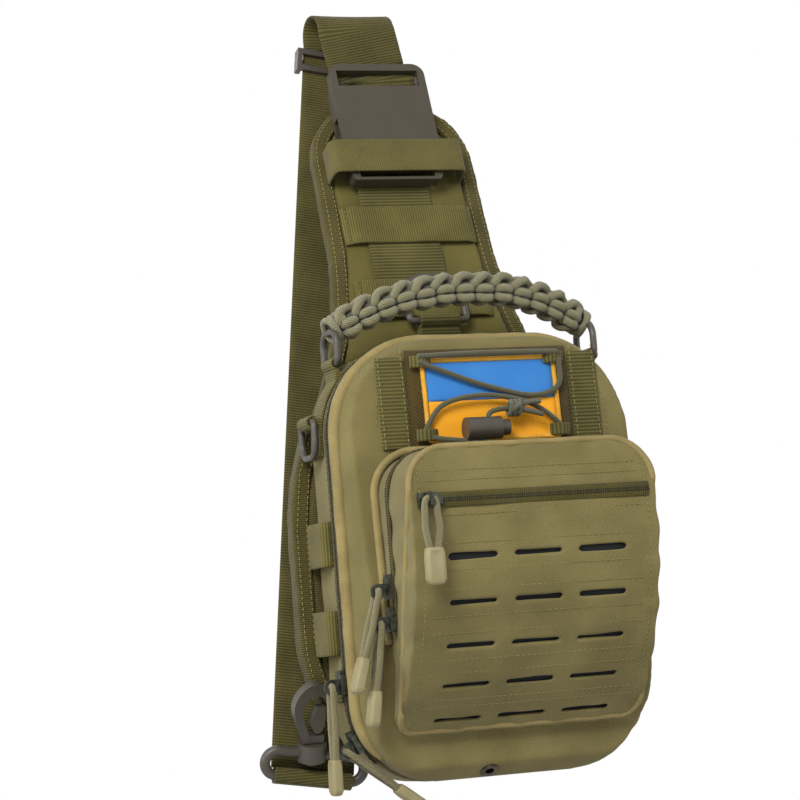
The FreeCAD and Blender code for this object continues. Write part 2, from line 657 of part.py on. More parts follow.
def strap_line(z):
    """Front face of the rear run of the strap."""
    low_y = RING_LOW[0] + RING_R + 0.3
    high_y = LOOP_REAR_Y - WEB / 2
    return low_y + (high_y - low_y) * (z - RING_LOW[1]) / (STRAP_JOIN_Z - RING_LOW[1])


def ring_frame(shape):
    """Lean and tilt a piece drawn upright about the strap ring's centre."""
    lean = math.degrees(math.atan2(RING_LOW[0] - RING_TOP[0], RING_TOP[1] - RING_LOW[1]))
    moved = shape.copy()
    moved.rotate(V(0, 0, 0), XAXIS, lean)
    moved.rotate(V(0, 0, 0), YAXIS, RING_TILT)
    moved.translate(V(RING_X, (RING_TOP[0] + RING_LOW[0]) / 2, (RING_TOP[1] + RING_LOW[1]) / 2))
    return moved


def strap():
    save("strap_top", strap_top())
    x = LOOP_X + LOOP_SHEAR * (LOOP_REAR_Y - LOOP_FRONT_Y) / 2 - WEB_WIDE / 2
    foot_z = RING_LOW[1] + 2.0
    profile = outline(side_plane(x), (strap_line(foot_z), foot_z), [
        (strap_line(STRAP_JOIN_Z), STRAP_JOIN_Z),
        (strap_line(STRAP_JOIN_Z) + WEB, STRAP_JOIN_Z),
        (strap_line(foot_z) + WEB, foot_z)])
    run = shear_x(solid(profile, V(WEB_WIDE, 0, 0)), 0, 0, STRAP_JOIN_Z, STRAP_LEAD)
    half_gap = math.hypot(RING_LOW[0] - RING_TOP[0], RING_TOP[1] - RING_LOW[1]) / 2
    fold = ring_frame(sleeve(V(0, 0, -half_gap), XAXIS, WEB_WIDE - 4, RING_R))
    bar_hole = ring_frame(Part.makeCylinder(RING_R + 0.3, 90, V(-45, 0, -half_gap), XAXIS))
    save("strap_rear", run.fuse(fold).cut(bar_hole))
    side = RING_WIDE / 2 - RING_R
    bend = half_gap - 0.01
    save("strap_ring", ring_frame(ring_xz(-side, side, 0, -half_gap, half_gap, RING_R, bend, bend)))
    tri_glide()


def tri_glide():
    """Bars cross in front of and behind the strap, so it slides along the rear run."""
    z0, z1 = STRAP_JOIN_Z - 18.0, STRAP_JOIN_Z - 3.5
    half_bar = WEB_WIDE / 2 + 4.4
    lean = math.degrees(math.atan2(strap_line(z1) - strap_line(z0), z1 - z0))
    mid_z = (z0 + z1) / 2
    half = (z1 - z0) / 2
    sides = [block(x, x + 3.2, -3.2, 4.6, -half, half) for x in (-half_bar, half_bar - 3.2)]
    bars = [block(-half_bar, half_bar, -3.2, -0.5, -half, 3.6 - half),
            block(-half_bar, half_bar, -3.2, -0.5, half - 3.6, half),
            block(-half_bar, half_bar, WEB + 0.5, 4.6, -1.8, 1.8)]
    frame = sides[0].fuse([sides[1]] + bars)
    frame.rotate(V(0, 0, 0), YAXIS, math.degrees(math.atan(STRAP_LEAD)))
    frame.rotate(V(0, 0, 0), XAXIS, -lean)
    top_x = LOOP_X + LOOP_SHEAR * (LOOP_REAR_Y - LOOP_FRONT_Y) / 2
    frame.translate(V(top_x - STRAP_LEAD * (STRAP_JOIN_Z - mid_z), strap_line(mid_z), mid_z))
    save("tri_glide", frame)


# ---- swivel snap hook --------------------------------------------------------
def on_hook(shape):
    return placed(shape, V(HOOK_X, RING_TOP[0], RING_TOP[1] + 0.3), 0, 0, HOOK_LEAN)


def snap_hook():
    collar = Part.makeCylinder(8.4, 10.5, V(0, 0, -3.5)).fuse(Part.makeCylinder(4.2, 2.8, V(0, 0, -5.8)))
    half_gap = math.hypot(RING_LOW[0] - RING_TOP[0], RING_TOP[1] - RING_LOW[1]) / 2
    bar_hole = ring_frame(Part.makeCylinder(RING_R + 0.3, 60, V(-30, 0, half_gap), XAXIS))
    save("hook_collar", on_hook(collar).cut(bar_hole))
    t = HOOK_THICK
    plate = outline(front_plane(-t / 2), (-6.0, 7.6), [
        (-11.0, 22.0),
        ((-10.0, 36.0), (-1.0, 43.0)),
        ((8.0, 39.5), (9.6, 31.0)),
        (7.2, 30.2),
        ((3.0, 35.6), (-2.0, 35.2)),
        ((-6.2, 31.0), (-6.5, 22.0)),
        (-2.5, 12.0),
        (6.0, 12.0),
        (6.0, 7.6)])
    save("hook_body", on_hook(solid(plate, V(0, t, 0))))
    gate = outline(front_plane(1 - t / 2), (1.0, 13.0), [
        (4.0, 13.0), (6.6, 18.0), (6.6, 29.0), (1.5, 29.0), (-2.0, 18.0)])
    save("hook_gate", on_hook(solid(gate, V(0, t - 2, 0))))


# ---- shock cord over the patch -----------------------------------------------
def shock_cord():
    y0 = front_face_y(215) - 5.2
    high, low = 236.5, 195.5
    left, right = -40.0, 45.0
    lock_x = -3.0
    runs = [
        tube([V(left, y0, high), V(-8, y0, 224), V(24, y0, 215), V(44, y0, 219), V(right, y0, high)],
             [60.0, 30.0, 12.0], SHOCK_R),
        tube([V(left, y0 - 1, low), V(-28, y0 - 2.5, 212), V(-6, y0 - 3.4, 217), V(24, y0 - 3.4, 211),
              V(right, y0 - 1, low)], [14.0, 25.0, 40.0], SHOCK_R),
        tube([V(left, y0, high + 3.2), V(0, y0, high + 4.0), V(right, y0, high + 3.2)],
             [400.0], SHOCK_R),
        tube([V(left, y0 - 1, low - 1.4), V(-20, y0 - 5, 191), V(lock_x, y0 - 6, 188.5),
              V(lock_x, y0 - 6, 206)], [20.0, 4.0], SHOCK_R),
        tube([V(lock_x, y0 - 6, 206), V(10, y0 - 6, 206.5), V(22, y0 - 6, 209)], [12.0], SHOCK_R),
    ]
    knot = Part.makeSphere(4.6, V(13, y0 - 6, 207.6))
    cord = runs[0].fuse(runs[2:] + [knot])
    save("shock_cord", cord, runs[1])


def cord_lock(y):
    """Barrel lying along X, with a sprung plunger that pinches the cord."""
    x, z = -3.0, 197.0
    barrel = Part.makeCylinder(6.4, 21.0, V(x - 14, y, z), XAXIS)
    barrel = barrel.cut(Part.makeCylinder(4.8, 20.0, V(x - 12.5, y, z), XAXIS))
    window = block(x - 2.4, x + 2.4, y - 2.4, y + 2.4, z - 10, z + 10)
    plunger = Part.makeCylinder(4.5, 18.0, V(x - 6.0, y, z), XAXIS)
    passage = block(x - 2.4, x + 6.0, y - 2.4, y + 2.4, z - 10, z + 10)
    spring = Part.makeCylinder(3.6, 2.2, V(x - 12.3, y, z), XAXIS)
    spring = spring.cut(Part.makeCylinder(2.6, 2.2, V(x - 12.3, y, z), XAXIS))
    save("cord_lock_barrel", barrel.cut(window))
    save("cord_lock_plunger", plunger.cut(passage))
    save("cord_lock_spring", spring)


def main():
    os.makedirs("parts", exist_ok=True)
    save("rear_shell", rear_shell())
    save("main_zip_rear", zip_band(ZIP_Y, ZIP_Y + 5.0))
    save("back_panel", back_panel())
    save("back_foam", back_foam())
    save("back_binding", back_binding())
    save("yoke_pad", yoke_pad())
    save("yoke_foam", on_yoke(yoke_foam_upright()))
    save("yoke_binding", yoke_binding())
    save("front_shell", front_shell())
    save("main_zip_front", zip_band(ZIP_Y - GAP - 3.0, ZIP_Y - GAP))
    save("grommet", grommet())
    save("pocket_gusset", pocket_gusset())
    save("pocket_panel", pocket_panel())
    save("slot_backing", slot_backing())
    save("front_zip", front_zip())
    save("side_zip", side_zip())
    patch_fittings()
    shock_cord()
    cord_lock(front_face_y(215) - 11.2)
    zip_hardware()
    handle()
    side_tabs()
    side_webbing()
    yoke_fittings()
    buckle()
    strap()
    snap_hook()


main()
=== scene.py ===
import math

import bmesh
import bpy
from bpy.props import FloatProperty, FloatVectorProperty, PointerProperty
from mathutils import Matrix, Vector, noise


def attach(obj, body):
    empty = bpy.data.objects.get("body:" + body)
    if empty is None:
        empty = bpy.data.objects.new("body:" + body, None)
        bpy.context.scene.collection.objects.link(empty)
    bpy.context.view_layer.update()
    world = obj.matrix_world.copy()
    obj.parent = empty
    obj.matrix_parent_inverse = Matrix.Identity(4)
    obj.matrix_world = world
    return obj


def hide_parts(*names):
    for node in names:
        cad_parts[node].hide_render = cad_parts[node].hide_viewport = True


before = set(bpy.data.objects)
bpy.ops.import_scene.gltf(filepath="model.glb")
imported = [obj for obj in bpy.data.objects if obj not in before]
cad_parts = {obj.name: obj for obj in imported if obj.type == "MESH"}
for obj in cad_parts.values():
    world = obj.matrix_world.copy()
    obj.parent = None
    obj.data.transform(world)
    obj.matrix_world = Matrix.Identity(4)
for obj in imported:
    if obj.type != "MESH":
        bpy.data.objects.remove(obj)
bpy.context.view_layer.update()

bl_info = {
    "name": "Sling bag maker",
    "version": (1, 0, 0),
    "blender": (4, 5, 0),
    "location": "View3D > Sidebar > Sling bag",
    "description": "Sews and dresses a sling bag around its CAD frame",
    "category": "Add Mesh",
}

MM = 0.001
HANG_X, HANG_Y, HANG_Z = -14.5, 84.7, 473.0
HANG = Vector((HANG_X, HANG_Y, HANG_Z))       # hang point, in the bag's own layout
LEAN = math.radians(19.9)                     # the yoke leans back
YOKE_Z = 211.0                                # height it leans from
FACE_Y, FACE_SLOPE = -66.0, 0.07              # front face at PANEL_Z, and its lean
PANEL_R, PANEL_SLOPE = 140.0, 0.105           # bulge of the pocket's front, lean at PANEL_Z
PANEL_Y, PANEL_Z = -117.0, 126.0
POCKET_X0, POCKET_X1, POCKET_Z0, POCKET_Z1 = -70.0, 75.0, 29.0, 185.0
PATCH_X0, PATCH_X1, PATCH_Z0, PATCH_Z1 = -37.0, 44.0, 191.0, 238.0
PATCH_SPLIT = 214.0                           # amber below, blue above
STRIP_X, STRIP_WIDE = (-64.0, 53.0), 17.0     # webbing strips beside the patch
INCH_WEB, STRAP_WIDE = 25.4, 50.0             # widths of webbing
LADDER_WIDE = 46.0
CROSS_TOPS = (353.5, 302.5)                   # top edges of the yoke's cross bands
LOOP_TOPS = (151.6, 101.6)                    # top edges of the side loops
LOOP_R, STRAP_THICK = 10.7, 1.6               # the strap's bend over the hang point
ALONG_X, ALONG_Y, ALONG_Z = (Vector(row) for row in Matrix.Identity(3))
FORWARD = (0, -1, 0)
WEAVE_UV = "cloth"                            # name of the UV map that every weave reads


# ---- places --------------------------------------------------------------------------
def at(x, y, z):
    """A place in the bag's layout (mm) as a point in the frame (m)."""
    return (Vector((x, y, z)) - HANG) * MM


def on_yoke(x, y, z):
    """A place drawn upright on the yoke, leaned back with it."""
    up = z - YOKE_Z
    return at(x, y * math.cos(LEAN) + up * math.sin(LEAN),
              YOKE_Z - y * math.sin(LEAN) + up * math.cos(LEAN))


def front_y(z):
    """The front face leans back going up."""
    return FACE_Y + FACE_SLOPE * (z - PANEL_Z)


def panel_point(x, z, out=0.0):
    """A place on the pocket's bulged front."""
    centre_y = PANEL_Y + PANEL_R * math.cos(PANEL_SLOPE)
    centre_z = PANEL_Z + PANEL_R * math.sin(PANEL_SLOPE)
    drop = math.sqrt(max((PANEL_R + out) ** 2 - (z - centre_z) ** 2, 0.0))
    return at(x, centre_y - drop, z)


def rounded(x0, x1, z0, z1, low, high, steps=14):
    """Outline of a panel with rounded corners, from the lower left corner round."""
    points = []
    corners = ((x0 + low, z0 + low, low, 180, 270), (x1 - low, z0 + low, low, 270, 360),
               (x1 - high, z1 - high, high, 0, 90), (x0 + high, z1 - high, high, 90, 180))
    for cx, cz, r, a0, a1 in corners:
        for i in range(steps + 1):
            a = math.radians(a0 + (a1 - a0) * i / steps)
            points.append((cx + r * math.cos(a), cz + r * math.sin(a)))
    return points


def evened(path, pitch, closed=False):
    """The same path with evenly spaced points."""
    points = list(path) + ([path[0]] if closed else [])
    lengths = [(b - a).length for a, b in zip(points, points[1:])]
    total = sum(lengths)
    count = max(int(round(total / pitch)), 2)
    result = []
    walked, i = 0.0, 0
    for k in range(count + (0 if closed else 1)):
        goal = total * k / count
        while i < len(lengths) - 1 and walked + lengths[i] < goal:
            walked += lengths[i]
            i += 1
        t = (goal - walked) / lengths[i] if lengths[i] else 0.0
        result.append(points[i].lerp(points[i + 1], min(max(t, 0.0), 1.0)))
    return result


def curved(points, pitch):
    """A smooth line through given points (Catmull-Rom), evenly spaced."""
    n = len(points)
    fine = []
    for i in range(n - 1):
        a, b, c, d = (points[min(max(i + k - 1, 0), n - 1)] for k in range(4))
        for k in range(12):
            t = k / 12
            fine.append(0.5 * ((2 * b) + (c - a) * t + (2 * a - 5 * b + 4 * c - d) * t * t
                               + (3 * b - a - 3 * c + d) * t ** 3))
    return evened(fine + [points[-1].copy()], pitch)


def route_length(points):
    return sum((b - a).length for a, b in zip(points, points[1:]))


# ---- meshes --------------------------------------------------------------------------
def placed(name, data):
    """A new object in the scene that shows the data."""
    obj = bpy.data.objects.new(name, data)
    bpy.context.scene.collection.objects.link(obj)
    return obj


def fitted(obj, body, node=None):
    """Hide the CAD node a piece stands for, and hang the piece on the body it rides."""
    if node:
        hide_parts(node)
    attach(obj, body)


def new_piece(name, verts, faces, uvs, material):
    """A smooth-shaded mesh with its weave's UV map."""
    mesh = bpy.data.meshes.new(name)
    mesh.from_pydata([tuple(v) for v in verts], [], faces)
    layer = mesh.uv_layers.new(name=WEAVE_UV)
    for loop in mesh.loops:
        layer.data[loop.index].uv = uvs[loop.index]
    mesh.polygons.foreach_set("use_smooth", [True] * len(mesh.polygons))
    mesh.materials.append(material)
    return placed(name, mesh)


def sweep(name, path, profile, across, finish, closed=False, scale=None):
    """Carry a closed profile (mm) along a path; the UV map holds mm round and along."""
    n, m = len(path), len(profile)
    verts, faces, uvs = [], [], []
    along, round_ = [0.0], [0.0]
    for a, b in zip(path, path[1:]):
        along.append(along[-1] + (b - a).length / MM)
    if closed:
        along.append(along[-1] + (path[0] - path[-1]).length / MM)
    for k in range(m):
        a, b = Vector(profile[k]), Vector(profile[(k + 1) % m])
        round_.append(round_[-1] + (b - a).length)
    side = None
    for i, point in enumerate(path):
        before = path[i - 1] if (i or closed) else path[i]
        after = path[(i + 1) % n] if (i < n - 1 or closed) else path[i]
        tangent = (after - before).normalized()
        if across is not None:
            wide = across[i] if isinstance(across, list) else across
            side = (wide - tangent * wide.dot(tangent)).normalized()
        elif side is None:
            guess = ALONG_Z if abs(tangent.z) < 0.9 else ALONG_X
            side = tangent.cross(guess).normalized()
        else:
            side = (side - tangent * side.dot(tangent)).normalized()
        up = tangent.cross(side)
        grow = scale[i] if scale else 1.0
        verts += [point + (side * a + up * b) * MM * grow for a, b in profile]
    last = n if closed else n - 1
    for i in range(last):
        j = (i + 1) % n
        for k in range(m):
            l = (k + 1) % m
            faces.append((i * m + k, i * m + l, j * m + l, j * m + k))
            uvs += [(round_[k], along[i]), (round_[k + 1], along[i]),
                    (round_[k + 1], along[i + 1]), (round_[k], along[i + 1])]
    if not closed:
        faces.append(tuple(reversed(range(m))))
        uvs += [profile[k] for k in reversed(range(m))]
        faces.append(tuple(range((n - 1) * m, n * m)))
        uvs += [profile[k] for k in range(m)]
    obj = new_piece(name, verts, faces, uvs, finish_of(finish))
    face_out(obj)
    return obj


def reworked(mesh, change):
    """Run a bmesh change on a mesh."""
    work = bmesh.new()
    work.from_mesh(mesh)
    change(work)
    work.to_mesh(mesh)
    work.free()


def face_out(obj):
    reworked(obj.data, lambda work: bmesh.ops.recalc_face_normals(work, faces=work.faces))


def circle(radius, sides=10, squash=1.0):
    return [(radius * math.cos(2 * math.pi * k / sides),
             radius * squash * math.sin(2 * math.pi * k / sides)) for k in range(sides)]


def band(width, thick, steps=8):
    """Section of woven webbing: flat, with soft selvedges."""
    half, t = width / 2 - thick / 2, thick / 2
    top = [(-half + 2 * half * k / steps, t) for k in range(steps + 1)]
    low = [(half - 2 * half * k / steps, -t) for k in range(steps + 1)]
    right = [(half + t * 0.86, t * 0.5), (half + t, 0), (half + t * 0.86, -t * 0.5)]
    left = [(-a, -b) for a, b in right]
    return top + right + low + left


def joined(name, pieces):
    """Several meshes as one piece, keeping each one's material."""
    target = pieces[0]
    target.name = name
    if len(pieces) > 1:
        with bpy.context.temp_override(active_object=target, object=target,
                                       selected_objects=pieces,
                                       selected_editable_objects=pieces):
            bpy.ops.object.join()
    return target


def plain(obj):
    """Turn the evaluated object into a plain mesh, with no modifier left."""
    graph = bpy.context.evaluated_depsgraph_get()
    mesh = bpy.data.meshes.new_from_object(obj.evaluated_get(graph))
    old = obj.data
    obj.modifiers.clear()
    obj.data = mesh
    bpy.data.meshes.remove(old)
    return obj


def merged_copy(node, name):
    """A copy of a CAD node whose loose triangles are merged."""
    def merge(work):
        bmesh.ops.remove_doubles(work, verts=work.verts, dist=1e-6)
        bmesh.ops.recalc_face_normals(work, faces=work.faces)

    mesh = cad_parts[node].data.copy()
    mesh.name = name
    reworked(mesh, merge)
    mesh.materials.clear()
    return placed(name, mesh)


def lay_cloth(obj, lean=0.0):
    """Give a piece its weave's UV map: mm across and up, on the side each face looks to."""
    mesh = obj.data
    layer = mesh.uv_layers.get(WEAVE_UV) or mesh.uv_layers.new(name=WEAVE_UV)
    turn = Matrix.Rotation(lean, 3, "X")
    for face in mesh.polygons:
        n = turn @ face.normal
        pick = max(range(3), key=lambda k: abs(n[k]))
        for loop in face.loop_indices:
            p = turn @ mesh.vertices[mesh.loops[loop].vertex_index].co / MM
            layer.data[loop].uv = ((p.y, p.z), (p.x, p.z), (p.x, p.y))[pick]


def crease(obj, amount, size, seed, stretch=(1.0, 1.0, 1.0), keep=None, extra=None):
    """Rumple cloth: move its points along their normals by smooth noise (mm)."""
    mesh = obj.data
    offset = Vector((seed * 7.3, seed * 1.7, seed * 3.1))
    moved = []
    for vertex in mesh.vertices:
        p = vertex.co / MM
        q = Vector((p.x * stretch[0], p.y * stretch[1], p.z * stretch[2])) / size + offset
        push = noise.noise(q) + 0.45 * noise.noise(q * 2.3 + offset)
        share = keep(p + HANG) if keep else 1.0
        more = extra(p + HANG) if extra else 0.0
        moved.append(vertex.co + vertex.normal * ((push * amount * share + more) * MM))
    for vertex, place in zip(mesh.vertices, moved):
        vertex.co = place
    mesh.update()


def soften(node, name, voxel, relax, finish, lean=0.0, rumple=None):
    """Cloth copy of a CAD solid: remeshed, relaxed, rumpled and given its weave."""
    obj = merged_copy(node, name)
    remesh = obj.modifiers.new("Remesh", "REMESH")
    remesh.mode = "VOXEL"
    remesh.voxel_size = voxel * MM
    smooth = obj.modifiers.new("Relax", "SMOOTH")
    smooth.factor = 0.5
    smooth.iterations = relax
    plain(obj)
    if rumple:
        crease(obj, *rumple)
    lay_cloth(obj, lean)
    obj.data.polygons.foreach_set("use_smooth", [True] * len(obj.data.polygons))
    obj.data.materials.append(finish_of(finish))
    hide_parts(node)
    return obj


# ---- materials -----------------------------------------------------------------------
def linear(hex_colour):
    """An sRGB hex colour as the linear values that shaders take."""
    values = [int(hex_colour[i:i + 2], 16) / 255 for i in (1, 3, 5)]
    return tuple(v / 12.92 if v <= 0.04045 else ((v + 0.055) / 1.055) ** 2.4
                 for v in values) + (1.0,)


def add(tree, kind, links=None, values=None, **settings):
    """Add a node with its settings, the values it holds and the sockets it reads."""
    node = tree.nodes.new(kind)
    for key, value in settings.items():
        setattr(node, key, value)
    for key, value in (values or {}).items():
        node.inputs[key].default_value = value
    for key, source in (links or {}).items():
        tree.links.new(source, node.inputs[key])
    return node


def made(tree, kind, *given, **settings):
    """First output of a node whose inputs are given in order, as sockets or as values."""
    links = {k: v for k, v in enumerate(given) if isinstance(v, bpy.types.NodeSocket)}
    values = {k: v for k, v in enumerate(given) if k not in links}
    return add(tree, kind, links, values, **settings).outputs[0]


MATH = "ShaderNodeMath"
TIMES, PLUS = {"operation": "MULTIPLY"}, {"operation": "ADD"}


def finish_named(name):
    """A new material with an empty shader; the caller joins colour, height and roughness."""
    material = bpy.data.materials.new(name)
    material.use_nodes = True
    tree = material.node_tree
    return material, tree, tree.nodes["Principled BSDF"]


def thread_coords(tree):
    uv = add(tree, "ShaderNodeUVMap", uv_map=WEAVE_UV)
    split = add(tree, "ShaderNodeSeparateXYZ", {0: uv.outputs[0]})
    return split.outputs[0], split.outputs[1]


def wave(tree, coord, pitch):
    """Sine along a coordinate in mm."""
    angle = made(tree, MATH, coord, 2 * math.pi / pitch, **TIMES)
    return made(tree, MATH, angle, operation="SINE")


def clouds(tree, scale, detail=3.0, low=0.35, high=0.65):
    """Soft variation from the piece's own coordinates, 0 to 1; scale is per metre."""
    coords = add(tree, "ShaderNodeTexCoord")
    field = add(tree, "ShaderNodeTexNoise", {"Vector": coords.outputs["Object"]},
                {"Scale": scale, "Detail": detail})
    span = add(tree, "ShaderNodeMapRange", {"Value": field.outputs[0]},
               {"From Min": low, "From Max": high})
    return span.outputs[0]


def with_share(tree, base, extra, share):
    """A value plus a share of another."""
    return made(tree, MATH, made(tree, MATH, extra, share, **TIMES), base, **PLUS)


def finished(parts, tone, dark, pale, height, depth, surface):
    """Join a colour between two hex values, relief of a real depth (m) and the surface."""
    material, tree, shader = parts
    colour = add(tree, "ShaderNodeMix", {0: tone}, {6: linear(dark), 7: linear(pale)},
                 data_type="RGBA")
    relief = add(tree, "ShaderNodeBump", {"Height": height}, {"Strength": 1.0, "Distance": depth})
    tree.links.new(colour.outputs[2], shader.inputs["Base Color"])
    tree.links.new(relief.outputs[0], shader.inputs["Normal"])
    for key, value in surface.items():
        if isinstance(value, bpy.types.NodeSocket):
            tree.links.new(value, shader.inputs[key])
        else:
            shader.inputs[key].default_value = value
    return material


def woven(name, dark, pale, thread, depth=0.00012, sheen=0.1, twill=False, soil=30.0):
    """Cloth of crossing threads: over and under in turn, with faded and worn patches."""
    parts = finish_named(name)
    tree = parts[1]
    u, v = thread_coords(tree)
    if twill:
        slope = made(tree, MATH, u, v, **PLUS)
        height = made(tree, MATH, wave(tree, slope, thread * 2), 1.0, **PLUS)
        height = made(tree, MATH, height, 0.5, **TIMES)
    else:
        cross = made(tree, MATH, wave(tree, u, thread * 2), wave(tree, v, thread * 2), **TIMES)
        height = with_share(tree, 0.5, cross, 0.5)
    height = with_share(tree, height, clouds(tree, 1800.0, 2.0, 0.3, 0.7), 0.35)
    tone = made(tree, MATH, height, 0.45, **TIMES)
    tone = with_share(tree, tone, clouds(tree, soil), 0.2)
    tone = made(tree, MATH, tone, 0.12, **PLUS)
    return finished(parts, tone, dark, pale, height, depth,
                    {"Roughness": 0.78, "Sheen Weight": sheen, "Sheen Roughness": 0.5,
                     "Specular IOR Level": 0.15})


def ribbed(name, dark, pale, pitch, depth=0.00025, fine=0.9):
    """Grosgrain and webbing: ribs across the band, each one packed with fine threads."""
    parts = finish_named(name)
    tree = parts[1]
    u, v = thread_coords(tree)
    weave = made(tree, MATH, wave(tree, u, fine * 2), 0.6, **TIMES)
    ribs = wave(tree, with_share(tree, v, weave, 0.12), pitch)
    height = made(tree, MATH, made(tree, MATH, ribs, 1.0, **PLUS), 0.5, **TIMES)
    height = with_share(tree, height, wave(tree, u, fine), 0.18)
    height = with_share(tree, height, clouds(tree, 2200.0, 2.0, 0.3, 0.7), 0.3)
    tone = made(tree, MATH, height, 0.55, **TIMES)
    tone = with_share(tree, tone, clouds(tree, 45.0), 0.2)
    return finished(parts, tone, dark, pale, height, depth,
                    {"Roughness": 0.7, "Sheen Weight": 0.08, "Specular IOR Level": 0.15})


def braided(name, dark, pale, strand):
    """Cord sleeve: strands that wind both ways and cross like a herringbone."""
    parts = finish_named(name)
    tree = parts[1]
    u, v = thread_coords(tree)
    one = wave(tree, with_share(tree, v, u, 0.8), strand)
    two = wave(tree, with_share(tree, v, u, -0.8), strand)
    height = made(tree, MATH, one, two, operation="MAXIMUM")
    height = with_share(tree, height, clouds(tree, 2500.0, 2.0, 0.3, 0.7), 0.4)
    tone = made(tree, MATH, made(tree, MATH, height, 0.6, **PLUS), 0.5, **TIMES)
    return finished(parts, tone, dark, pale, height, 0.0003,
                    {"Roughness": 0.75, "Sheen Weight": 0.3})


def moulded(name, dark, pale, rough):
    """Moulded plastic: a fine eroded grain, paler where handling has rubbed it."""
    parts = finish_named(name)
    tree = parts[1]
    scuffed = with_share(tree, rough - 0.05, clouds(tree, 300.0), 0.14)
    return finished(parts, clouds(tree, 35.0, 6.0, 0.1, 0.9), dark, pale,
                    clouds(tree, 900.0, 3.0, 0.2, 0.8), 0.00006, {"Roughness": scuffed})


def metal(name, dark, pale, rough):
    """Painted or bare metal, a little mottled."""
    parts = finish_named(name)
    tree = parts[1]
    mottled = with_share(tree, rough, clouds(tree, 500.0), 0.15)
    return finished(parts, clouds(tree, 260.0, 4.0), dark, pale, clouds(tree, 1500.0), 0.00003,
                    {"Metallic": 0.85, "Roughness": mottled})


def meshy(name, dark, pale, cell):
    """Spacer mesh: round holes in offset rows over a dark ground."""
    parts = finish_named(name)
    tree = parts[1]
    u, v = thread_coords(tree)
    hole = made(tree, MATH, wave(tree, u, cell), wave(tree, v, cell), **TIMES)
    hole = made(tree, MATH, made(tree, MATH, hole, 1.0, **PLUS), 0.5, **TIMES)
    span = add(tree, "ShaderNodeMapRange", {"Value": hole},
               {"From Min": 0.45, "From Max": 0.75, "To Min": 1.0, "To Max": 0.0}).outputs[0]
    tone = made(tree, MATH, span, with_share(tree, 0.7, clouds(tree, 60.0), 0.3), **TIMES)
    return finished(parts, tone, dark, pale, span, 0.0006,
                    {"Roughness": 0.85, "Sheen Weight": 0.2})


MATERIALS = {}


def finish_of(key):
    """The named finish, made on first use."""
    if key not in MATERIALS:
        make, *row = FINISHES[key]
        MATERIALS[key] = make(*row)
    return MATERIALS[key]


FINISHES = {   # maker, name, dark and pale colour, then the maker's own sizes in order
    # coated pack nylon: plain weave, drawn coarser than it is so that it shows
    "pack_nylon": (woven, "Coated pack nylon, olive", "#423b1e", "#8a7f50", 0.75),
    # the same nylon where it is folded over cord: rubbed warmer and paler
    "piping_nylon": (woven, "Folded nylon piping, rubbed", "#54492a", "#a3925e", 0.9,
                     0.00012, 0.1, False, 70.0),
    # tightly woven load webbing with flat ribs, darker than the pack
    "webbing": (ribbed, "Nylon load webbing, dark olive", "#2b280f", "#6c6535", 2.1),
    "strap": (ribbed, "Shoulder strap webbing, olive", "#242109", "#625b2f", 1.7, 0.00025, 1.2),
    # lighter narrow webbing of the side loops and tabs
    "loop_webbing": (ribbed, "Narrow webbing, olive", "#37330f", "#746c39", 1.5),
    # grosgrain binding folded over the pads' edges
    "binding": (ribbed, "Grosgrain binding, dark olive", "#231f08", "#635b2e", 1.3),
    "elastic": (ribbed, "Woven elastic, olive", "#3c3817", "#6d6538", 1.2, 0.00015),
    # air mesh against the wearer's back
    "air_mesh": (meshy, "Spacer air mesh, olive", "#1d1c0c", "#5d5830", 3.0),
    "pad_nylon": (woven, "Pad nylon, olive", "#37320f", "#716937", 0.75),
    "lining": (woven, "Dark slot lining", "#141614", "#26292a", 0.8, 0.00012, 0.0),
    "hook_pile": (woven, "Brushed loop pile", "#221a08", "#5a4a22", 1.1, 0.0004),
    # zip tape with a nylon coil under it
    "zip_tape": (ribbed, "Zip tape, olive", "#2c280d", "#5d5527", 1.2),
    "coil": (moulded, "Nylon coil, near black olive", "#0f0e06", "#22200c", 0.85),
    "thread": (moulded, "Bonded nylon thread, olive", "#6a6130", "#8f8450", 0.6),
    "dark_thread": (moulded, "Bonded nylon thread, dark olive", "#2a2810", "#45411f", 0.6),
    "paracord": (braided, "Braided paracord, sage", "#38341b", "#928b60", 1.2),
    "pull_cord": (braided, "Braided pull cord, olive", "#5a532e", "#857b4d", 1.3),
    "shock_cord": (braided, "Shock cord sleeve, dark olive", "#26260f", "#5b5836", 1.1),
    # glass-filled acetal: cool brown grey, dull
    "acetal": (moulded, "Moulded acetal, brown grey", "#342f26", "#474138", 0.42),
    "buckle_acetal": (moulded, "Moulded acetal, dark", "#2f291d", "#3d3627", 0.45),
    "pull_plastic": (moulded, "Soft moulded end, stone olive", "#756c47", "#938863", 0.6),
    "slider_paint": (metal, "Stoved slider enamel", "#33352f", "#5a5b50", 0.35),
    "grommet": (metal, "Enamelled eyelet", "#2c241c", "#55483a", 0.3),
    "spring": (metal, "Spring steel", "#9a9a98", "#c0c0bd", 0.25),
    "blue": (woven, "Patch twill, blue", "#2160ae", "#4a8fd0", 0.5, 0.00008, 0.0, True),
    "yellow": (woven, "Patch twill, amber", "#dd9210", "#f5ae36", 0.5, 0.00008, 0.0, True),
    "merrow": (ribbed, "Merrowed edge thread, amber", "#c98a1c", "#f8c34c", 0.9, 0.0003, 0.9),
}


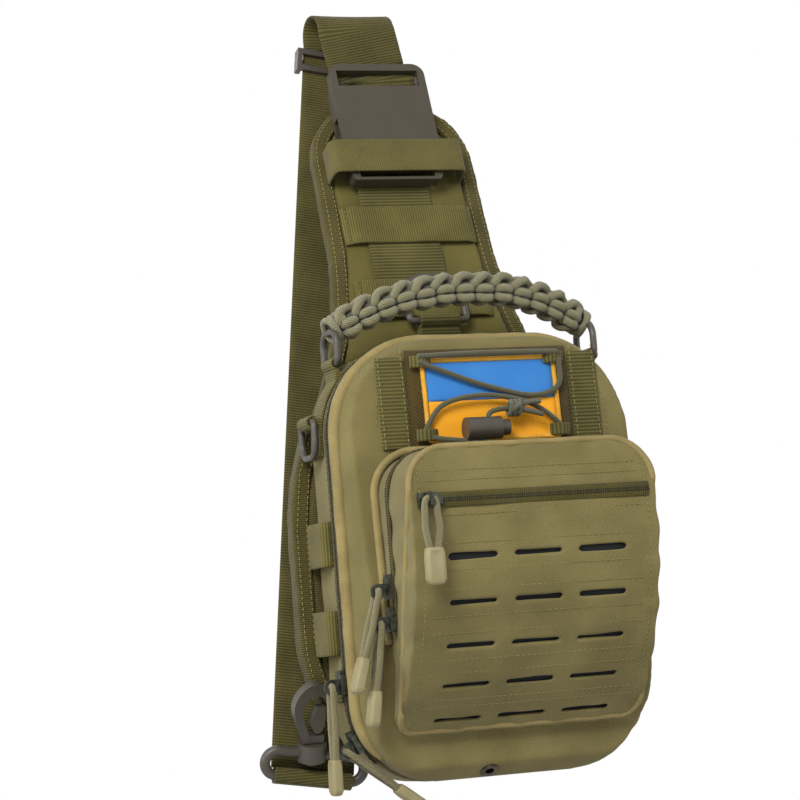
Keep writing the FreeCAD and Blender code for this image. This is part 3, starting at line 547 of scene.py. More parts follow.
# ---- node trees for what repeats -----------------------------------------------------
def tree_along(name, extra):
    """A node tree with its inputs, and points spaced evenly along the lines it is given."""
    tree = bpy.data.node_groups.new(name, "GeometryNodeTree")
    for label, kind in (("Lines", "Geometry"), ("Pitch", "Float"), ("Up", "Vector"),
                        ("Finish", "Material"), *extra):
        tree.interface.new_socket(label, in_out="INPUT", socket_type="NodeSocket" + kind)
    tree.interface.new_socket("Geometry", in_out="OUTPUT", socket_type="NodeSocketGeometry")
    given = add(tree, "NodeGroupInput").outputs
    curve = made(tree, "GeometryNodeMeshToCurve", given["Lines"])
    even = add(tree, "GeometryNodeResampleCurve", {"Curve": curve}, mode="LENGTH")
    tree.links.new(given["Pitch"], even.inputs["Length"])
    return tree, given, even.outputs[0]


def aimed(tree, up, turn):
    """A rotation that looks along the line with one side up, then turns by its own angles."""
    aim = add(tree, "FunctionNodeAlignRotationToVector",
              {"Vector": made(tree, "GeometryNodeInputTangent")}, axis="Z")
    roll = add(tree, "FunctionNodeAlignRotationToVector",
               {"Rotation": aim.outputs[0], "Vector": up}, axis="X", pivot_axis="Z")
    spin = made(tree, "FunctionNodeEulerToRotation", turn)
    return made(tree, "FunctionNodeRotateRotation", roll.outputs[0], spin, rotation_space="LOCAL")


def closed_tree(tree, given, geometry):
    """Give the tree's result its finish and hand it out."""
    done = add(tree, "GeometryNodeSetMaterial", {"Geometry": geometry, "Material": given["Finish"]})
    add(tree, "NodeGroupOutput", {"Geometry": done.outputs[0]})
    return tree


def repeat_tree():
    """Sewing, teeth and ribs: a small rounded form set at a pitch along lines."""
    tree, given, points = tree_along("Repeat along lines", (("Size", "Vector"), ("Turn", "Float")))
    slant = add(tree, "ShaderNodeCombineXYZ", {"X": given["Turn"]})
    grain = add(tree, "GeometryNodeMeshUVSphere", values={"Segments": 6, "Rings": 5, "Radius": 0.5})
    grains = add(tree, "GeometryNodeInstanceOnPoints",
                 {"Points": points, "Instance": grain.outputs[0], "Scale": given["Size"],
                  "Rotation": aimed(tree, given["Up"], slant.outputs[0])})
    real = made(tree, "GeometryNodeRealizeInstances", grains.outputs[0])
    return closed_tree(tree, given, made(tree, "GeometryNodeSetShadeSmooth", real))


def knot_tree():
    """Braiding: two knot forms in turn along a line, each turned a little its own way."""
    tree, given, points = tree_along("Knots along a line", (
        ("Knot A", "Object"), ("Knot B", "Object"), ("Uneven", "Float")))
    index = made(tree, "GeometryNodeInputIndex")
    odd = made(tree, MATH, index, 2.0, operation="MODULO")
    chance = add(tree, "FunctionNodeRandomValue", {"Max": given["Uneven"]}, {"Seed": 7})
    wobble = add(tree, "ShaderNodeCombineXYZ", {"Z": chance.outputs[1]})
    turned = aimed(tree, given["Up"], wobble.outputs[0])
    both = add(tree, "GeometryNodeJoinGeometry")
    for label, test in (("Knot A", "LESS_THAN"), ("Knot B", "GREATER_THAN")):
        info = add(tree, "GeometryNodeObjectInfo", {"Object": given[label]},
                   transform_space="ORIGINAL")
        pick = made(tree, "FunctionNodeCompare", odd, 0.5, operation=test)
        form = add(tree, "GeometryNodeInstanceOnPoints",
                   {"Points": points, "Selection": pick, "Instance": info.outputs["Geometry"],
                    "Rotation": turned})
        tree.links.new(form.outputs[0], both.inputs[0])
    return closed_tree(tree, given, made(tree, "GeometryNodeRealizeInstances", both.outputs[0]))


TREES = {}


def grown(name, lines, make_tree, inputs):
    """Run a node tree on lines of points and keep the result as a plain mesh."""
    if make_tree not in TREES:
        TREES[make_tree] = make_tree()
    tree = TREES[make_tree]
    verts, edges = [], []
    for line in lines:
        start = len(verts)
        verts += [tuple(p) for p in line]
        edges += [(start + i, start + i + 1) for i in range(len(line) - 1)]
    mesh = bpy.data.meshes.new(name)
    mesh.from_pydata(verts, edges, [])
    obj = placed(name, mesh)
    modifier = obj.modifiers.new("Grow", "NODES")
    modifier.node_group = tree
    sockets = {s.name: s.identifier for s in tree.interface.items_tree if s.in_out == "INPUT"}
    for key, value in inputs.items():
        modifier[sockets[key]] = value
    return plain(obj)


def beads(name, lines, pitch, size, finish, up=FORWARD, turn=0.0):
    """Rows of one small rounded form: its pitch in m, its size in mm."""
    return grown(name, lines, repeat_tree, {
        "Pitch": pitch, "Size": tuple(s * MM for s in size), "Up": up, "Turn": turn,
        "Finish": finish_of(finish)})


def sewn(name, lines, body, length=2.5, gap=0.9, thick=0.62, finish="thread"):
    """Rows of lockstitch: one short raised thread after another."""
    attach(beads(name, lines, (length + gap) * MM, (thick, thick, length), finish), body)


# ---- settings that a user would change -----------------------------------------------
class BagSizes(bpy.types.PropertyGroup):
    shell_rumple: FloatProperty(name="Shell rumple", unit="LENGTH", default=1.1 * MM, min=0.0,
                                description="How far the pack's cloth moves in and out")
    piping_radius: FloatProperty(name="Piping radius", unit="LENGTH", default=3.9 * MM,
                                 description="Radius of the roll beside the main zip")
    coil_pitch: FloatProperty(name="Coil pitch", unit="LENGTH", default=1.5 * MM,
                              description="Distance between turns of the zip coil")
    knot_pitch: FloatProperty(name="Knot pitch", unit="LENGTH", default=12.0 * MM,
                              description="Distance between knots of the braided handle")


class BagLook(bpy.types.PropertyGroup):
    ground: FloatVectorProperty(name="Floor colour", subtype="COLOR", size=3, min=0.0, max=1.0,
                                default=(0.5, 0.5, 0.5), description="Colour of the floor")
    fill: FloatProperty(name="Fill light", default=0.49, min=0.0,
                        description="Strength of the even light from all round")


def sizes():
    return bpy.context.scene.bag_sizes


class Step:
    """What the operators share: make the pieces, then report that it is done."""

    def execute(self, context):
        self.make()
        return {"FINISHED"}


# ---- pack shells ---------------------------------------------------------------------
def panel_pucker(p):
    """Sewn edges of the pocket gather the cloth in short folds; long soft folds run across the
    middle.
    """
    from_side = min(p.x - POCKET_X0, POCKET_X1 - p.x)
    from_end = min(POCKET_Z1 - p.z, p.z - POCKET_Z0)
    edge = min(from_side, from_end)
    run = p.z if from_side < from_end else p.x
    fold = math.sin(run / 3.4 + 2.2 * noise.noise(p / 23.0)) * math.exp(-max(edge, 0.0) / 7.0)
    long_fold = noise.noise(Vector((p.x / 60.0, 3.1, p.z / 16.0)))
    return 0.55 * fold + 0.9 * long_fold * min(max(edge / 12.0, 0.0), 1.0)


def shell_pucker(p):
    """The front half gathers beside its piping and sags in soft vertical folds."""
    if p.z > 183 and -64 < p.x < 70:
        return 0.0
    side = max(abs(p.x) - 62.0, 0.0) / 22.0
    fold = noise.noise(Vector((p.x / 30.0, p.y / 9.0, p.z / 55.0 + 9.0)))
    return 1.3 * fold * min(side, 1.0)


def front_cloth_share(p):
    """Cloth is held flat round the zip and the patch, and free elsewhere."""
    share = min(max((-42.0 - p.y) / 8.0, 0.0), 1.0)
    if -64 < p.x < 70 and p.z > 186 and p.y < -50:
        share *= 0.15
    return share


class BAG_OT_shells(Step, bpy.types.Operator):
    """Cloth halves of the pack, with soft folds"""
    bl_idname = "bag.shells"
    bl_label = "Pack shells"

    def make(self):
        push = sizes().shell_rumple / MM
        rear = soften("rear_shell", "rear_shell_cloth", 1.9, 6, "pack_nylon",
                      rumple=(push * 0.8, 34.0, 3, (1, 1, 0.6)))
        fitted(rear, "bag")
        front = soften("front_shell", "front_shell_cloth", 1.7, 7, "pack_nylon",
                       rumple=(push, 30.0, 5, (1, 1, 0.6), front_cloth_share, shell_pucker))
        fitted(front, "front")
        gusset = soften("pocket_gusset", "pocket_gusset_cloth", 1.5, 4, "pack_nylon",
                        rumple=(push * 0.6, 24.0, 8))
        fitted(gusset, "front")
        panel = soften("pocket_panel", "pocket_panel_cloth", 1.0, 2, "pack_nylon",
                       rumple=(push * 0.6, 27.0, 11, (0.8, 1, 1.0), None, panel_pucker))
        fitted(panel, "pocket_lid")


class BAG_OT_piping(Step, bpy.types.Operator):
    """Rolls of folded cloth beside the zip and round the pocket"""
    bl_idname = "bag.piping"
    bl_label = "Piping"

    def make(self):
        r = sizes().piping_radius / MM
        line = zip_line(-46.6, 1.6)
        count = len(line)
        grow = [min(1.0, 0.35 + 0.12 * min(i, count - 1 - i)) for i in range(count)]
        roll = sweep("zip_side_piping", line, circle(r, 14, 0.92), ALONG_Y,
                     "piping_nylon", scale=grow)
        crease(roll, 0.55, 16.0, 21)
        fitted(roll, "front")
        edge = [panel_point(x, z, -0.9) for x, z in rounded(-69.4, 74.4, 31, 184.4, 9.4, 23.4)]
        welt = sweep("pocket_edge_piping", evened(edge, 2.0 * MM, True), circle(1.9, 10),
                     None, "piping_nylon", closed=True)
        crease(welt, 0.3, 11.0, 22)
        fitted(welt, "pocket_lid")
        x0, x1 = POCKET_X0 - 2, POCKET_X1 + 2
        arc = rounded(x0, x1, 66, 187.0, 2.0, 25.0)
        outline = ([(x1, 80 + 8 * i) for i in range(10)] + arc[len(arc) // 2:]
                   + [(x0, 152 - 8 * i) for i in range(10)])
        foot = [at(x, front_y(z) - 1.6, z) for x, z in outline]
        base = sweep("pocket_base_piping", evened(foot, 2.0 * MM), circle(2.3, 10),
                     None, "piping_nylon")
        fitted(base, "front")


# ---- zips ----------------------------------------------------------------------------
def zip_line(y, inset):
    """Open run of the pack's outline: up the right side, over the top, down the left."""
    flat = rounded(inset - 88, 88 - inset, 2 + inset, 252 - inset, 48 - inset, 54 - inset)
    n, low = len(flat) // 4, 15.0
    right, left = ([p for p in side if p[1] > low] for side in (flat[n:2 * n], flat[:n]))
    return evened([at(x, y, z) for x, z in right + flat[2 * n:] + left], 2.2 * MM)


def pocket_zip_line(y, out):
    """Open run of the pocket's outline, down to the height where its zip ends."""
    x0, x1, low, steps = POCKET_X0 - out, POCKET_X1 + out, 90.0, 12
    flat = rounded(x0, x1, POCKET_Z0, POCKET_Z1 + out, 10, 24 + out, steps)
    run = [(x1, low)] + flat[2 * (steps + 1):] + [(x0, low)]
    return evened([at(x, y, z) for x, z in run], 2.0 * MM)


class BAG_OT_zips(Step, bpy.types.Operator):
    """Zip tapes with their coils"""
    bl_idname = "bag.zips"
    bl_label = "Zips"

    def make(self):
        pitch = sizes().coil_pitch
        tapes = (("main_zip_rear", "bag", zip_line(-37.6, -0.55), 4.6),
                 ("main_zip_front", "front", zip_line(-42.2, -0.55), 2.8),
                 ("side_zip", "pocket_lid", pocket_zip_line(-82.7, 0.6), 3.6))
        for node, body, line, wide in tapes:
            tape = sweep(node + "_tape", line, band(wide, 1.2, 4), ALONG_Y,
                         "zip_tape")
            fitted(tape, body, node)
        coils = (("rear_coil", "bag", zip_line(-39.5, -0.9)),
                 ("front_coil", "front", zip_line(-41.2, -0.9)),
                 ("pocket_coil_lid", "pocket_lid", pocket_zip_line(-81.6, 0.9)),
                 ("pocket_coil_base", "front", pocket_zip_line(-79.6, 0.5)))
        for name, body, line in coils:
            coil = beads(name, [line], pitch, (1.5, 1.5, 1.25), "coil", ALONG_Y, 0.5)
            fitted(coil, body)
        front, low, high = ([panel_point(-66 + 136 * i / 60, z, out) for i in range(61)]
                            for z, out in ((155.0, 0.7), (154.3, 1.2), (155.7, 1.2)))
        tape = sweep("front_zip_tape", front, band(8.2, 1.2, 4), ALONG_Z, "zip_tape")
        fitted(tape, "pocket_lid", "front_zip")
        coil = beads("front_coil_row", [low, high], pitch, (1.2, 1.3, 1.25), "coil", turn=0.5)
        fitted(coil, "pocket_lid")


# ---- back and yoke -------------------------------------------------------------------
def back_line(inset):
    """Outline of the back panel, open at the top."""
    wide, r = 102 - inset, 84 - inset
    points = [(-87 + inset, 211), (-98 + inset, 182), (-wide, 150), (-wide, 4 + inset + r)]
    for start, x in ((180, r - wide), (270, wide - r)):
        for i in range(13):
            a = math.radians(start + 90 * i / 12)
            points.append((x + r * math.cos(a), 4 + inset + r + r * math.sin(a)))
    points += [(wide, 150), (98 - inset, 182), (87 - inset, 211)]
    return points


def yoke_line(inset):
    """Outline of the yoke, upright, open at the bottom."""
    half, r, top = 52 - inset, 42 - inset, 430 - inset
    right = [(85 - inset, 214), (76 - inset, 230), (69 - inset, 246), (62.5 - inset, 263),
             (58.5 - inset, 280), (55 - inset, 300), (half + 1, 320), (half, 350), (half, top - r)]
    for i in range(1, 9):
        a = math.radians(90 * i / 8)
        right.append((half - r + r * math.cos(a), top - r + r * math.sin(a)))
    return right + [(-x, z) for x, z in reversed(right)]


class BAG_OT_pads(Step, bpy.types.Operator):
    """Padded back panel and yoke with their bound edges"""
    bl_idname = "bag.pads"
    bl_label = "Back and yoke"

    def make(self):
        back = soften("back_panel", "back_panel_cloth", 2.2, 6, "air_mesh",
                      rumple=(0.7, 26.0, 31))
        quilt(back)
        back.data.materials.append(finish_of("binding"))
        for face in back.data.polygons:
            if face.normal.y < -0.2:
                face.material_index = 1
        fitted(back, "bag")
        yoke = soften("yoke_pad", "yoke_pad_cloth", 1.9, 6, "pad_nylon", lean=LEAN,
                      rumple=(0.8, 26.0, 33))
        fitted(yoke, "bag")
        for node in ("back_foam", "yoke_foam"):
            foam = soften(node, node + "_sheet", 3.2, 2, "lining")
            fitted(foam, "bag")
        rims = (("back_binding", 0.0), ("yoke_binding", LEAN))
        for node, lean in rims:
            rim = soften(node, node + "_tape", 1.5, 5, "binding", lean=lean,
                         rumple=(0.5, 12.0, 36))
            fitted(rim, "bag")


def quilt(obj):
    """Press the sewn channels into the back panel's wearer side."""
    for vertex in obj.data.vertices:
        p = vertex.co / MM + HANG
        if p.y < 5.5:
            continue
        dent = 0.0
        for x in (-34.0, 34.0):
            dent = max(dent, 1.0 - abs(p.x - x) / 5.0)
        for z in (70.0, 140.0):
            dent = max(dent, 1.0 - abs(p.z - z) / 5.0)
        if dent > 0:
            vertex.co.y -= 1.5 * MM * (dent * dent * (3 - 2 * dent))


class BAG_OT_yoke_webbing(Step, bpy.types.Operator):
    """Webbing, elastic keeper and ring tab on the yoke"""
    bl_idname = "bag.yoke_webbing"
    bl_label = "Yoke webbing"

    def make(self):
        ladder = [on_yoke(-5, -1.5 - 0.5 * math.sin(z / 7.0), z) for z in range(280, 375, 2)]
        lower = [on_yoke(4, -1.5, z) for z in range(219, 282, 2)]
        fold = [on_yoke(-5, -4.3, z) for z in (368, 370, 372, 374)]
        runs = (("ladder", ladder, LADDER_WIDE, 2.0), ("lower", lower, INCH_WEB, 2.0),
                ("fold", fold, LADDER_WIDE, 3.2))
        parts = [sweep(name, line, band(wide, thick), ALONG_X, "webbing")
                 for name, line, wide, thick in runs]
        web = joined("yoke_ladder_band", parts)
        fitted(web, "bag", "yoke_ladder_webbing")
        up = on_yoke(0, 0, 100) - on_yoke(0, 0, 0)
        crosses = []
        for top in CROSS_TOPS:
            mid = top - INCH_WEB / 2
            line = []
            for i in range(43):
                px = -42 + 2 * i
                ends = min(1.0, (42 - abs(px)) / 7.0)
                line.append(on_yoke(px, -1.3 - 2.7 * ends - 0.25 * math.sin(px / 6.0), mid))
            crosses.append(sweep("cross", line, band(INCH_WEB, 1.6), up,
                                 "loop_webbing"))
        fitted(joined("yoke_cross_bands", crosses), "bag", "yoke_cross_webbing")
        loop = [(-45.2, -1.5), (-45.2, -8), (-44.8, -14.5), (-43.0, -17.0), (-38, -17.5),
                (-20, -17.7), (-3, -17.8), (14, -17.7), (32, -17.5), (37.0, -17.0),
                (38.8, -14.5), (39.2, -8), (39.2, -1.5)]
        line = curved([on_yoke(a, b, 381.7) for a, b in loop], 2.0 * MM)
        keeper = sweep("elastic_keeper_band", line, band(22.5, 1.6), up, "elastic")
        fitted(keeper, "bag", "elastic_keeper")
        tab = soften("yoke_ring_tab", "yoke_ring_tab_web", 0.8, 2, "webbing", lean=LEAN)
        fitted(tab, "bag")


# ---- straps --------------------------------------------------------------------------
def rear_run(z):
    """Middle of the strap's rear run at a height."""
    low_y = 6.0 + 3.3
    y = low_y + (95.4 - 0.8 - low_y) * (z - 8.0) / 447.0 + 0.8
    return at(HANG_X - 0.15 * LOOP_R - 0.181 * (455.0 - z), y, z)


class BAG_OT_straps(Step, bpy.types.Operator):
    """Shoulder strap: the loop over the top and the long rear run"""
    bl_idname = "bag.straps"
    bl_label = "Shoulder strap"

    def make(self):
        centre_z = HANG_Z + STRAP_THICK - (LOOP_R + 0.8)
        path = [(HANG_Y - LOOP_R, z) for z in (430, 434, 440, 446, 452, 458)]
        for i in range(15):
            a = math.pi - math.pi * i / 14
            path.append((HANG_Y + LOOP_R * math.cos(a), centre_z + LOOP_R * math.sin(a)))
        path.append((HANG_Y + LOOP_R, 455.2))
        line = []
        for y, z in path:
            drift = 0.2 * max(0.0, 464.0 - z) if y < HANG_Y else 0.0
            line.append(at(HANG_X - 0.15 * (y - HANG_Y) + drift, y, z))
        foot = [on_yoke(*p) for p in ((-4, -6.6, 433.0), (-4, -9.0, 436.0), (-4.2, -10.6, 440.0),
                                      (-5.4, -9.4, 443.6), (-7.2, -7.8, 447.0))]
        line = curved(foot + [p for p in line if p.z > foot[-1].z + 6 * MM], 1.8 * MM)
        section = band(STRAP_WIDE, STRAP_THICK, 14)
        top = sweep("strap_loop", evened(line, 1.8 * MM), section, ALONG_X, "strap")
        fitted(top, "bag", "strap_top")
        run = [rear_run(z) for z in range(12, 456, 3)] + [rear_run(455)]
        wide = Vector((math.cos(math.radians(10)), 0, -math.sin(math.radians(10))))
        across = [wide.lerp(ALONG_X, min(i / 60, 1.0)) for i in range(len(run))]
        back = sweep("strap_run", run, section, across, "strap")
        fold = merged_copy("strap_rear", "fold")
        high = at(0, 0, 16.5).z
        reworked(fold.data, lambda work: bmesh.ops.delete(
            work, geom=[v for v in work.verts if v.co.z > high], context="VERTS"))
        fold.data.materials.append(finish_of("strap"))
        lay_cloth(fold)
        back = joined("strap_run", [back, fold])
        fitted(back, "bag", "strap_rear")


# ---- side fittings -------------------------------------------------------------------
class BAG_OT_side_fittings(Step, bpy.types.Operator):
    """Webbing tabs and loops sewn to the pack's sides"""
    bl_idname = "bag.side_fittings"
    bl_label = "Side fittings"

    def make(self):
        tabs = soften("side_tabs", "side_tab_webbing", 0.75, 2, "loop_webbing")
        fitted(tabs, "bag")
        loops = []
        for side in (-1, 1):
            for top in LOOP_TOPS:
                route = ((88.6, -32.6), (92.2, -32.5), (93.8, -30.0), (94.0, -19), (93.8, -8.0),
                         (92.2, -5.2), (88.6, -5.0))
                line = curved([at(side * x, y, top - INCH_WEB / 2) for x, y in route], 1.6 * MM)
                loops.append(sweep("loop", line, band(INCH_WEB, 1.6), ALONG_Z,
                                   "loop_webbing"))
        web = joined("side_loop_webbing", loops)
        fitted(web, "bag", "side_webbing")
        tab = soften("anchor_tab", "anchor_tab_web", 0.7, 2, "webbing")
        fitted(tab, "bag")


# ---- patch panel ---------------------------------------------------------------------
def field_point(x, z, out):
    """A place in front of the front face."""
    return at(x, front_y(z) - out, z)


def sheet_of(name, x0, x1, z0, z1, out, thick, material):
    """Thin cloth laid on the front face, a little uneven."""
    nx, nz, uneven = 24, 18, 0.25
    verts, faces, uvs = [], [], []
    for k in range(nz + 1):
        for i in range(nx + 1):
            x = x0 + (x1 - x0) * i / nx
            z = z0 + (z1 - z0) * k / nz
            lift = uneven * noise.noise(Vector((x / 17.0, z / 17.0, 4.2)))
            edge = min(i, nx - i, k, nz - k)
            verts.append(field_point(x, z, out + lift - (0.35 if edge == 0 else 0.0)))
    n = nx + 1
    for k in range(nz):
        for i in range(nx):
            a = k * n + i
            faces.append((a, a + 1, a + n + 1, a + n))
            for j in (a, a + 1, a + n + 1, a + n):
                uvs.append((x0 + (x1 - x0) * (j % n) / nx, z0 + (z1 - z0) * (j // n) / nz))
    obj = new_piece(name, verts, faces, uvs, material)
    solid = obj.modifiers.new("Thickness", "SOLIDIFY")
    solid.thickness = thick * MM
    solid.offset = -1.0
    return plain(obj)


def cord_curve(name, route, radius, material):
    """A limp cord on one smooth spline through its route."""
    data = bpy.data.curves.new(name, "CURVE")
    data.dimensions = "3D"
    data.bevel_depth = radius * MM
    data.bevel_resolution = 4
    data.resolution_u = 10
    data.use_fill_caps = True
    spline = data.splines.new("NURBS")
    spline.points.add(len(route) - 1)
    for point, place in zip(spline.points, route):
        point.co = (*place, 1.0)
    spline.order_u = 3
    spline.use_endpoint_u = True
    data.materials.append(material)
    return placed(name, data)


def spline_points(route, pitch):
    """Points along the smooth spline of a route."""
    probe = cord_curve("probe", route, 0.0, None)
    probe.data.bevel_depth = 0.0
    graph = bpy.context.evaluated_depsgraph_get()
    mesh = bpy.data.meshes.new_from_object(probe.evaluated_get(graph))
    points = [v.co.copy() for v in mesh.vertices]
    bpy.data.meshes.remove(mesh)
    bpy.data.objects.remove(probe)
    return evened(points, pitch * MM)


class BAG_OT_patch_panel(Step, bpy.types.Operator):
    """Loop field, plain two-colour patch, webbing strips and cord tabs"""
    bl_idname = "bag.patch_panel"
    bl_label = "Patch panel"

    def make(self):
        field = sheet_of("loop_field_pile", -46, 52, 188, 244, 1.2, 1.1, finish_of("hook_pile"))
        fitted(field, "front", "loop_field")
        lower, upper = (sheet_of(name, PATCH_X0 + 1, PATCH_X1 - 1, z0, z1, 2.9, 1.6, finish_of(key))
                        for name, z0, z1, key in (
                            ("patch_lower", PATCH_Z0 + 1, PATCH_SPLIT, "yellow"),
                            ("patch_upper", PATCH_SPLIT, PATCH_Z1 - 1, "blue")))
        outline = rounded(PATCH_X0 + 0.6, PATCH_X1 - 0.6, PATCH_Z0 + 0.6, PATCH_Z1 - 0.6, 2.0,
                          2.0, 5)
        ring = [field_point(x, z, 2.4) for x, z in outline]
        border = sweep("border", evened(ring, 1.5 * MM, True), circle(1.8, 8, 0.8),
                       Vector(FORWARD), "merrow", closed=True)
        patch = joined("two_colour_patch", [lower, upper, border])
        fitted(patch, "front", "patch")
        overlock = beads("patch_overlock", [ring + ring[:1]], 0.95 * MM, (4.1, 3.2, 0.85), "merrow")
        fitted(overlock, "front")
        strips = []
        for x0 in STRIP_X:
            line = [field_point(x0 + STRIP_WIDE / 2, z, 0.8) for z in range(188, 241, 2)]
            strips.append(sweep("strip", line, band(STRIP_WIDE, 1.6), ALONG_X,
                                "webbing"))
        web = joined("field_webbing_strips", strips)
        fitted(web, "front", "field_webbing")
        tabs = []
        for x in (-44.0, 37.0):
            for z in (192.0, 234.0):
                line = [field_point(x + 12 * i / 8, z + 3, 3.6 + 3.2 * math.sin(math.pi * i / 8))
                        for i in range(9)]
                tabs.append(sweep("tab", line, band(7.0, 1.4), ALONG_Z,
                                  "webbing"))
        loops = joined("cord_tab_loops", tabs)
        fitted(loops, "front", "cord_tabs")


class BAG_OT_shock_cord(Step, bpy.types.Operator):
    """Shock cord laced over the patch, with its knot"""
    bl_idname = "bag.shock_cord"
    bl_label = "Shock cord"

    def make(self):
        y0 = front_y(215) - 5.2
        routes = {
            "shock_cord_upper": [(-40, y0, 236.5), (-24, y0, 230.4), (-8, y0, 224), (8, y0, 219.2),
                                 (24, y0, 215), (36, y0, 215.5), (45, y0, 220), (46, y0, 229),
                                 (45, y0, 236.5)],
            "shock_cord_lower": [(-40, y0 - 1, 195.5), (-35, y0 - 1.9, 206), (-26, y0 - 2.8, 213.5),
                                 (-6, y0 - 3.6, 216.5), (10, y0 - 3.6, 214.6), (24, y0 - 3.4, 211),
                                 (38, y0 - 2, 203), (45, y0 - 1, 195.5)],
            "shock_cord_top": [(-40, y0, 239.7), (-20, y0, 240.3), (0, y0, 240.5), (22, y0, 240.3),
                               (45, y0, 239.7)],
            "shock_cord_tie": [(-40, y0 - 1, 194.1), (-30, y0 - 3, 192.2), (-20, y0 - 5, 190.8),
                               (-10, y0 - 6, 189.0), (-3.4, y0 - 6, 189.5), (-3, y0 - 6, 195),
                               (-3, y0 - 6, 201), (-2.4, y0 - 6, 205.6), (3, y0 - 6.4, 207.4),
                               (10, y0 - 6.4, 207.6)],
        }
        cord = "shock_cord"
        for name, route in routes.items():
            places = [at(*p) for p in route]
            line = spline_points(places, 1.5)
            obj = cord_curve(name, places, 1.5, finish_of(cord))
            fitted(obj, "front", "shock_cord")
            tuple(line[0])
            round(route_length(line), 4)
        section, turns = circle(1.5, 8), []
        for k in range(3):
            middle = 13 + (k - 1) * 2.5
            ring = [at(middle + 0.8 * math.sin(a), y0 - 7 + 2.9 * math.cos(a),
                       207.6 + 3.7 * math.sin(a))
                    for a in (2 * math.pi * i / 14 for i in range(14))]
            turns.append(sweep("turn", ring, section, None, cord, closed=True))
        over = [at(9.5, y0 - 8.6, 205.0), at(13, y0 - 11, 207.6), at(16.6, y0 - 8.6, 210.2)]
        turns.append(sweep("over", curved(over, MM), section, None, cord))
        for tail in (((16, 208.6), (22, 210.6), (29, 210.8)),
                     ((16, 206.4), (22, 205.6), (30, 203.4))):
            line = curved([at(x, y0 - 7.2, z) for x, z in tail], 1.2 * MM)
            turns.append(sweep("tail", line, section, None, cord))
        knot = joined("shock_cord_knot", turns)
        fitted(knot, "front")


# ---- zip pulls -----------------------------------------------------------------------
PULLS = {   # name: eye of the bail, turn about X or Y (degrees), length, across the front
    "main_upper": ((-97.6, -40.3, 59.0), 1.5, 60.0, False),
    "main_lower": ((-92.0, -40.3, 22.77), -52.0, 56.0, False),
    "pocket_upper": ((-79.6, -80.3, 109.0), 17.0, 57.0, False),
    "pocket_lower": ((-79.6, -80.3, 91.0), 9.0, 56.0, False),
    "front": ((-62.0, -127.2, 155.0), 0.0, 46.0, True),
}


def pull_frame(eye, tilt, across):
    """Turns a pull drawn hanging from the origin into its place."""
    turn = Matrix.Rotation(math.radians(90.0 if across else 0.0), 3, "Z")
    tip = Matrix.Rotation(math.radians(tilt), 3, "Y")
    start = at(*eye)
    return lambda x, y, z: start + (turn @ tip @ Vector((x, y, z))) * MM


class BAG_OT_pulls(Step, bpy.types.Operator):
    """Cord loops and moulded ends of the five zip pulls"""
    bl_idname = "bag.pulls"
    bl_label = "Zip pulls"

    def make(self):
        for index, (name, (eye, tilt, length, across)) in enumerate(PULLS.items()):
            place = pull_frame(eye, tilt, across)
            low = -length + 20.0
            bow = 0.9 + 0.25 * (index % 3)
            route = [(0, -2.3, low - 3), (0, -2.4, low), (0, -3.2 - bow, low * 0.62),
                     (0, -3.6, low * 0.3), (0, -3.3, -3.0), (0, -2.0, 0.1), (0, 0, 0.5),
                     (0, 2.0, 0.1), (0, 3.3, -3.0), (0, 3.6, low * 0.3),
                     (0, 3.2 + bow * 0.6, low * 0.62), (0, 2.4, low), (0, 2.3, low - 3)]
            line = curved([place(*p) for p in route], 1.1 * MM)
            cord = sweep("cord", line, circle(1.9, 10), None, "pull_cord")
            end = pull_end(place, low, length)
            both = joined(name + "_pull_cord_and_end", [cord, end])
            fitted(both, name + "_pull", name + "_pull")


def pull_end(place, low, length):
    """Moulded end: flat-sided, with chamfered corners, a collar and a thumb dish."""
    stations = [(low + 0.2, 0.55), (low, 0.8), (low - 0.8, 0.92), (low - 2.0, 0.92),
                (low - 2.6, 0.97), (low - 6.0, 1.0), (low - 12.0, 1.0), (-length + 3.0, 1.0),
                (-length + 1.0, 0.82), (-length + 0.2, 0.6), (-length, 0.3)]
    half_y, half_x, cut = 5.5, 3.25, 1.9
    verts, faces = [], []
    ring = [(-half_x, -half_y + cut), (-half_x + cut * 0.6, -half_y), (half_x - cut * 0.6, -half_y),
            (half_x, -half_y + cut), (half_x, 0), (half_x, half_y - cut),
            (half_x - cut * 0.6, half_y), (-half_x + cut * 0.6, half_y), (-half_x, half_y - cut),
            (-half_x, 0)]
    m = len(ring)
    for z, grow in stations:
        for k, (x, y) in enumerate(ring):
            dish = 0.75 if k in (4, 9) and -length + 3.0 < z < low - 2.5 else 1.0
            verts.append(place(x * grow * dish, y * grow, z))
    for i in range(len(stations) - 1):
        for k in range(m):
            l = (k + 1) % m
            faces.append((i * m + k, i * m + l, (i + 1) * m + l, (i + 1) * m + k))
    faces.append(tuple(range(m)))
    faces.append(tuple(reversed(range((len(stations) - 1) * m, len(stations) * m))))
    uvs = [(0.0, 0.0)] * sum(len(f) for f in faces)
    obj = new_piece("end", verts, faces, uvs, finish_of("pull_plastic"))
    face_out(obj)
    edge = obj.modifiers.new("Edges", "BEVEL")
    edge.width = 0.35 * MM
    edge.segments = 2
    edge.limit_method = "ANGLE"
    edge.angle_limit = math.radians(25)
    return plain(obj)


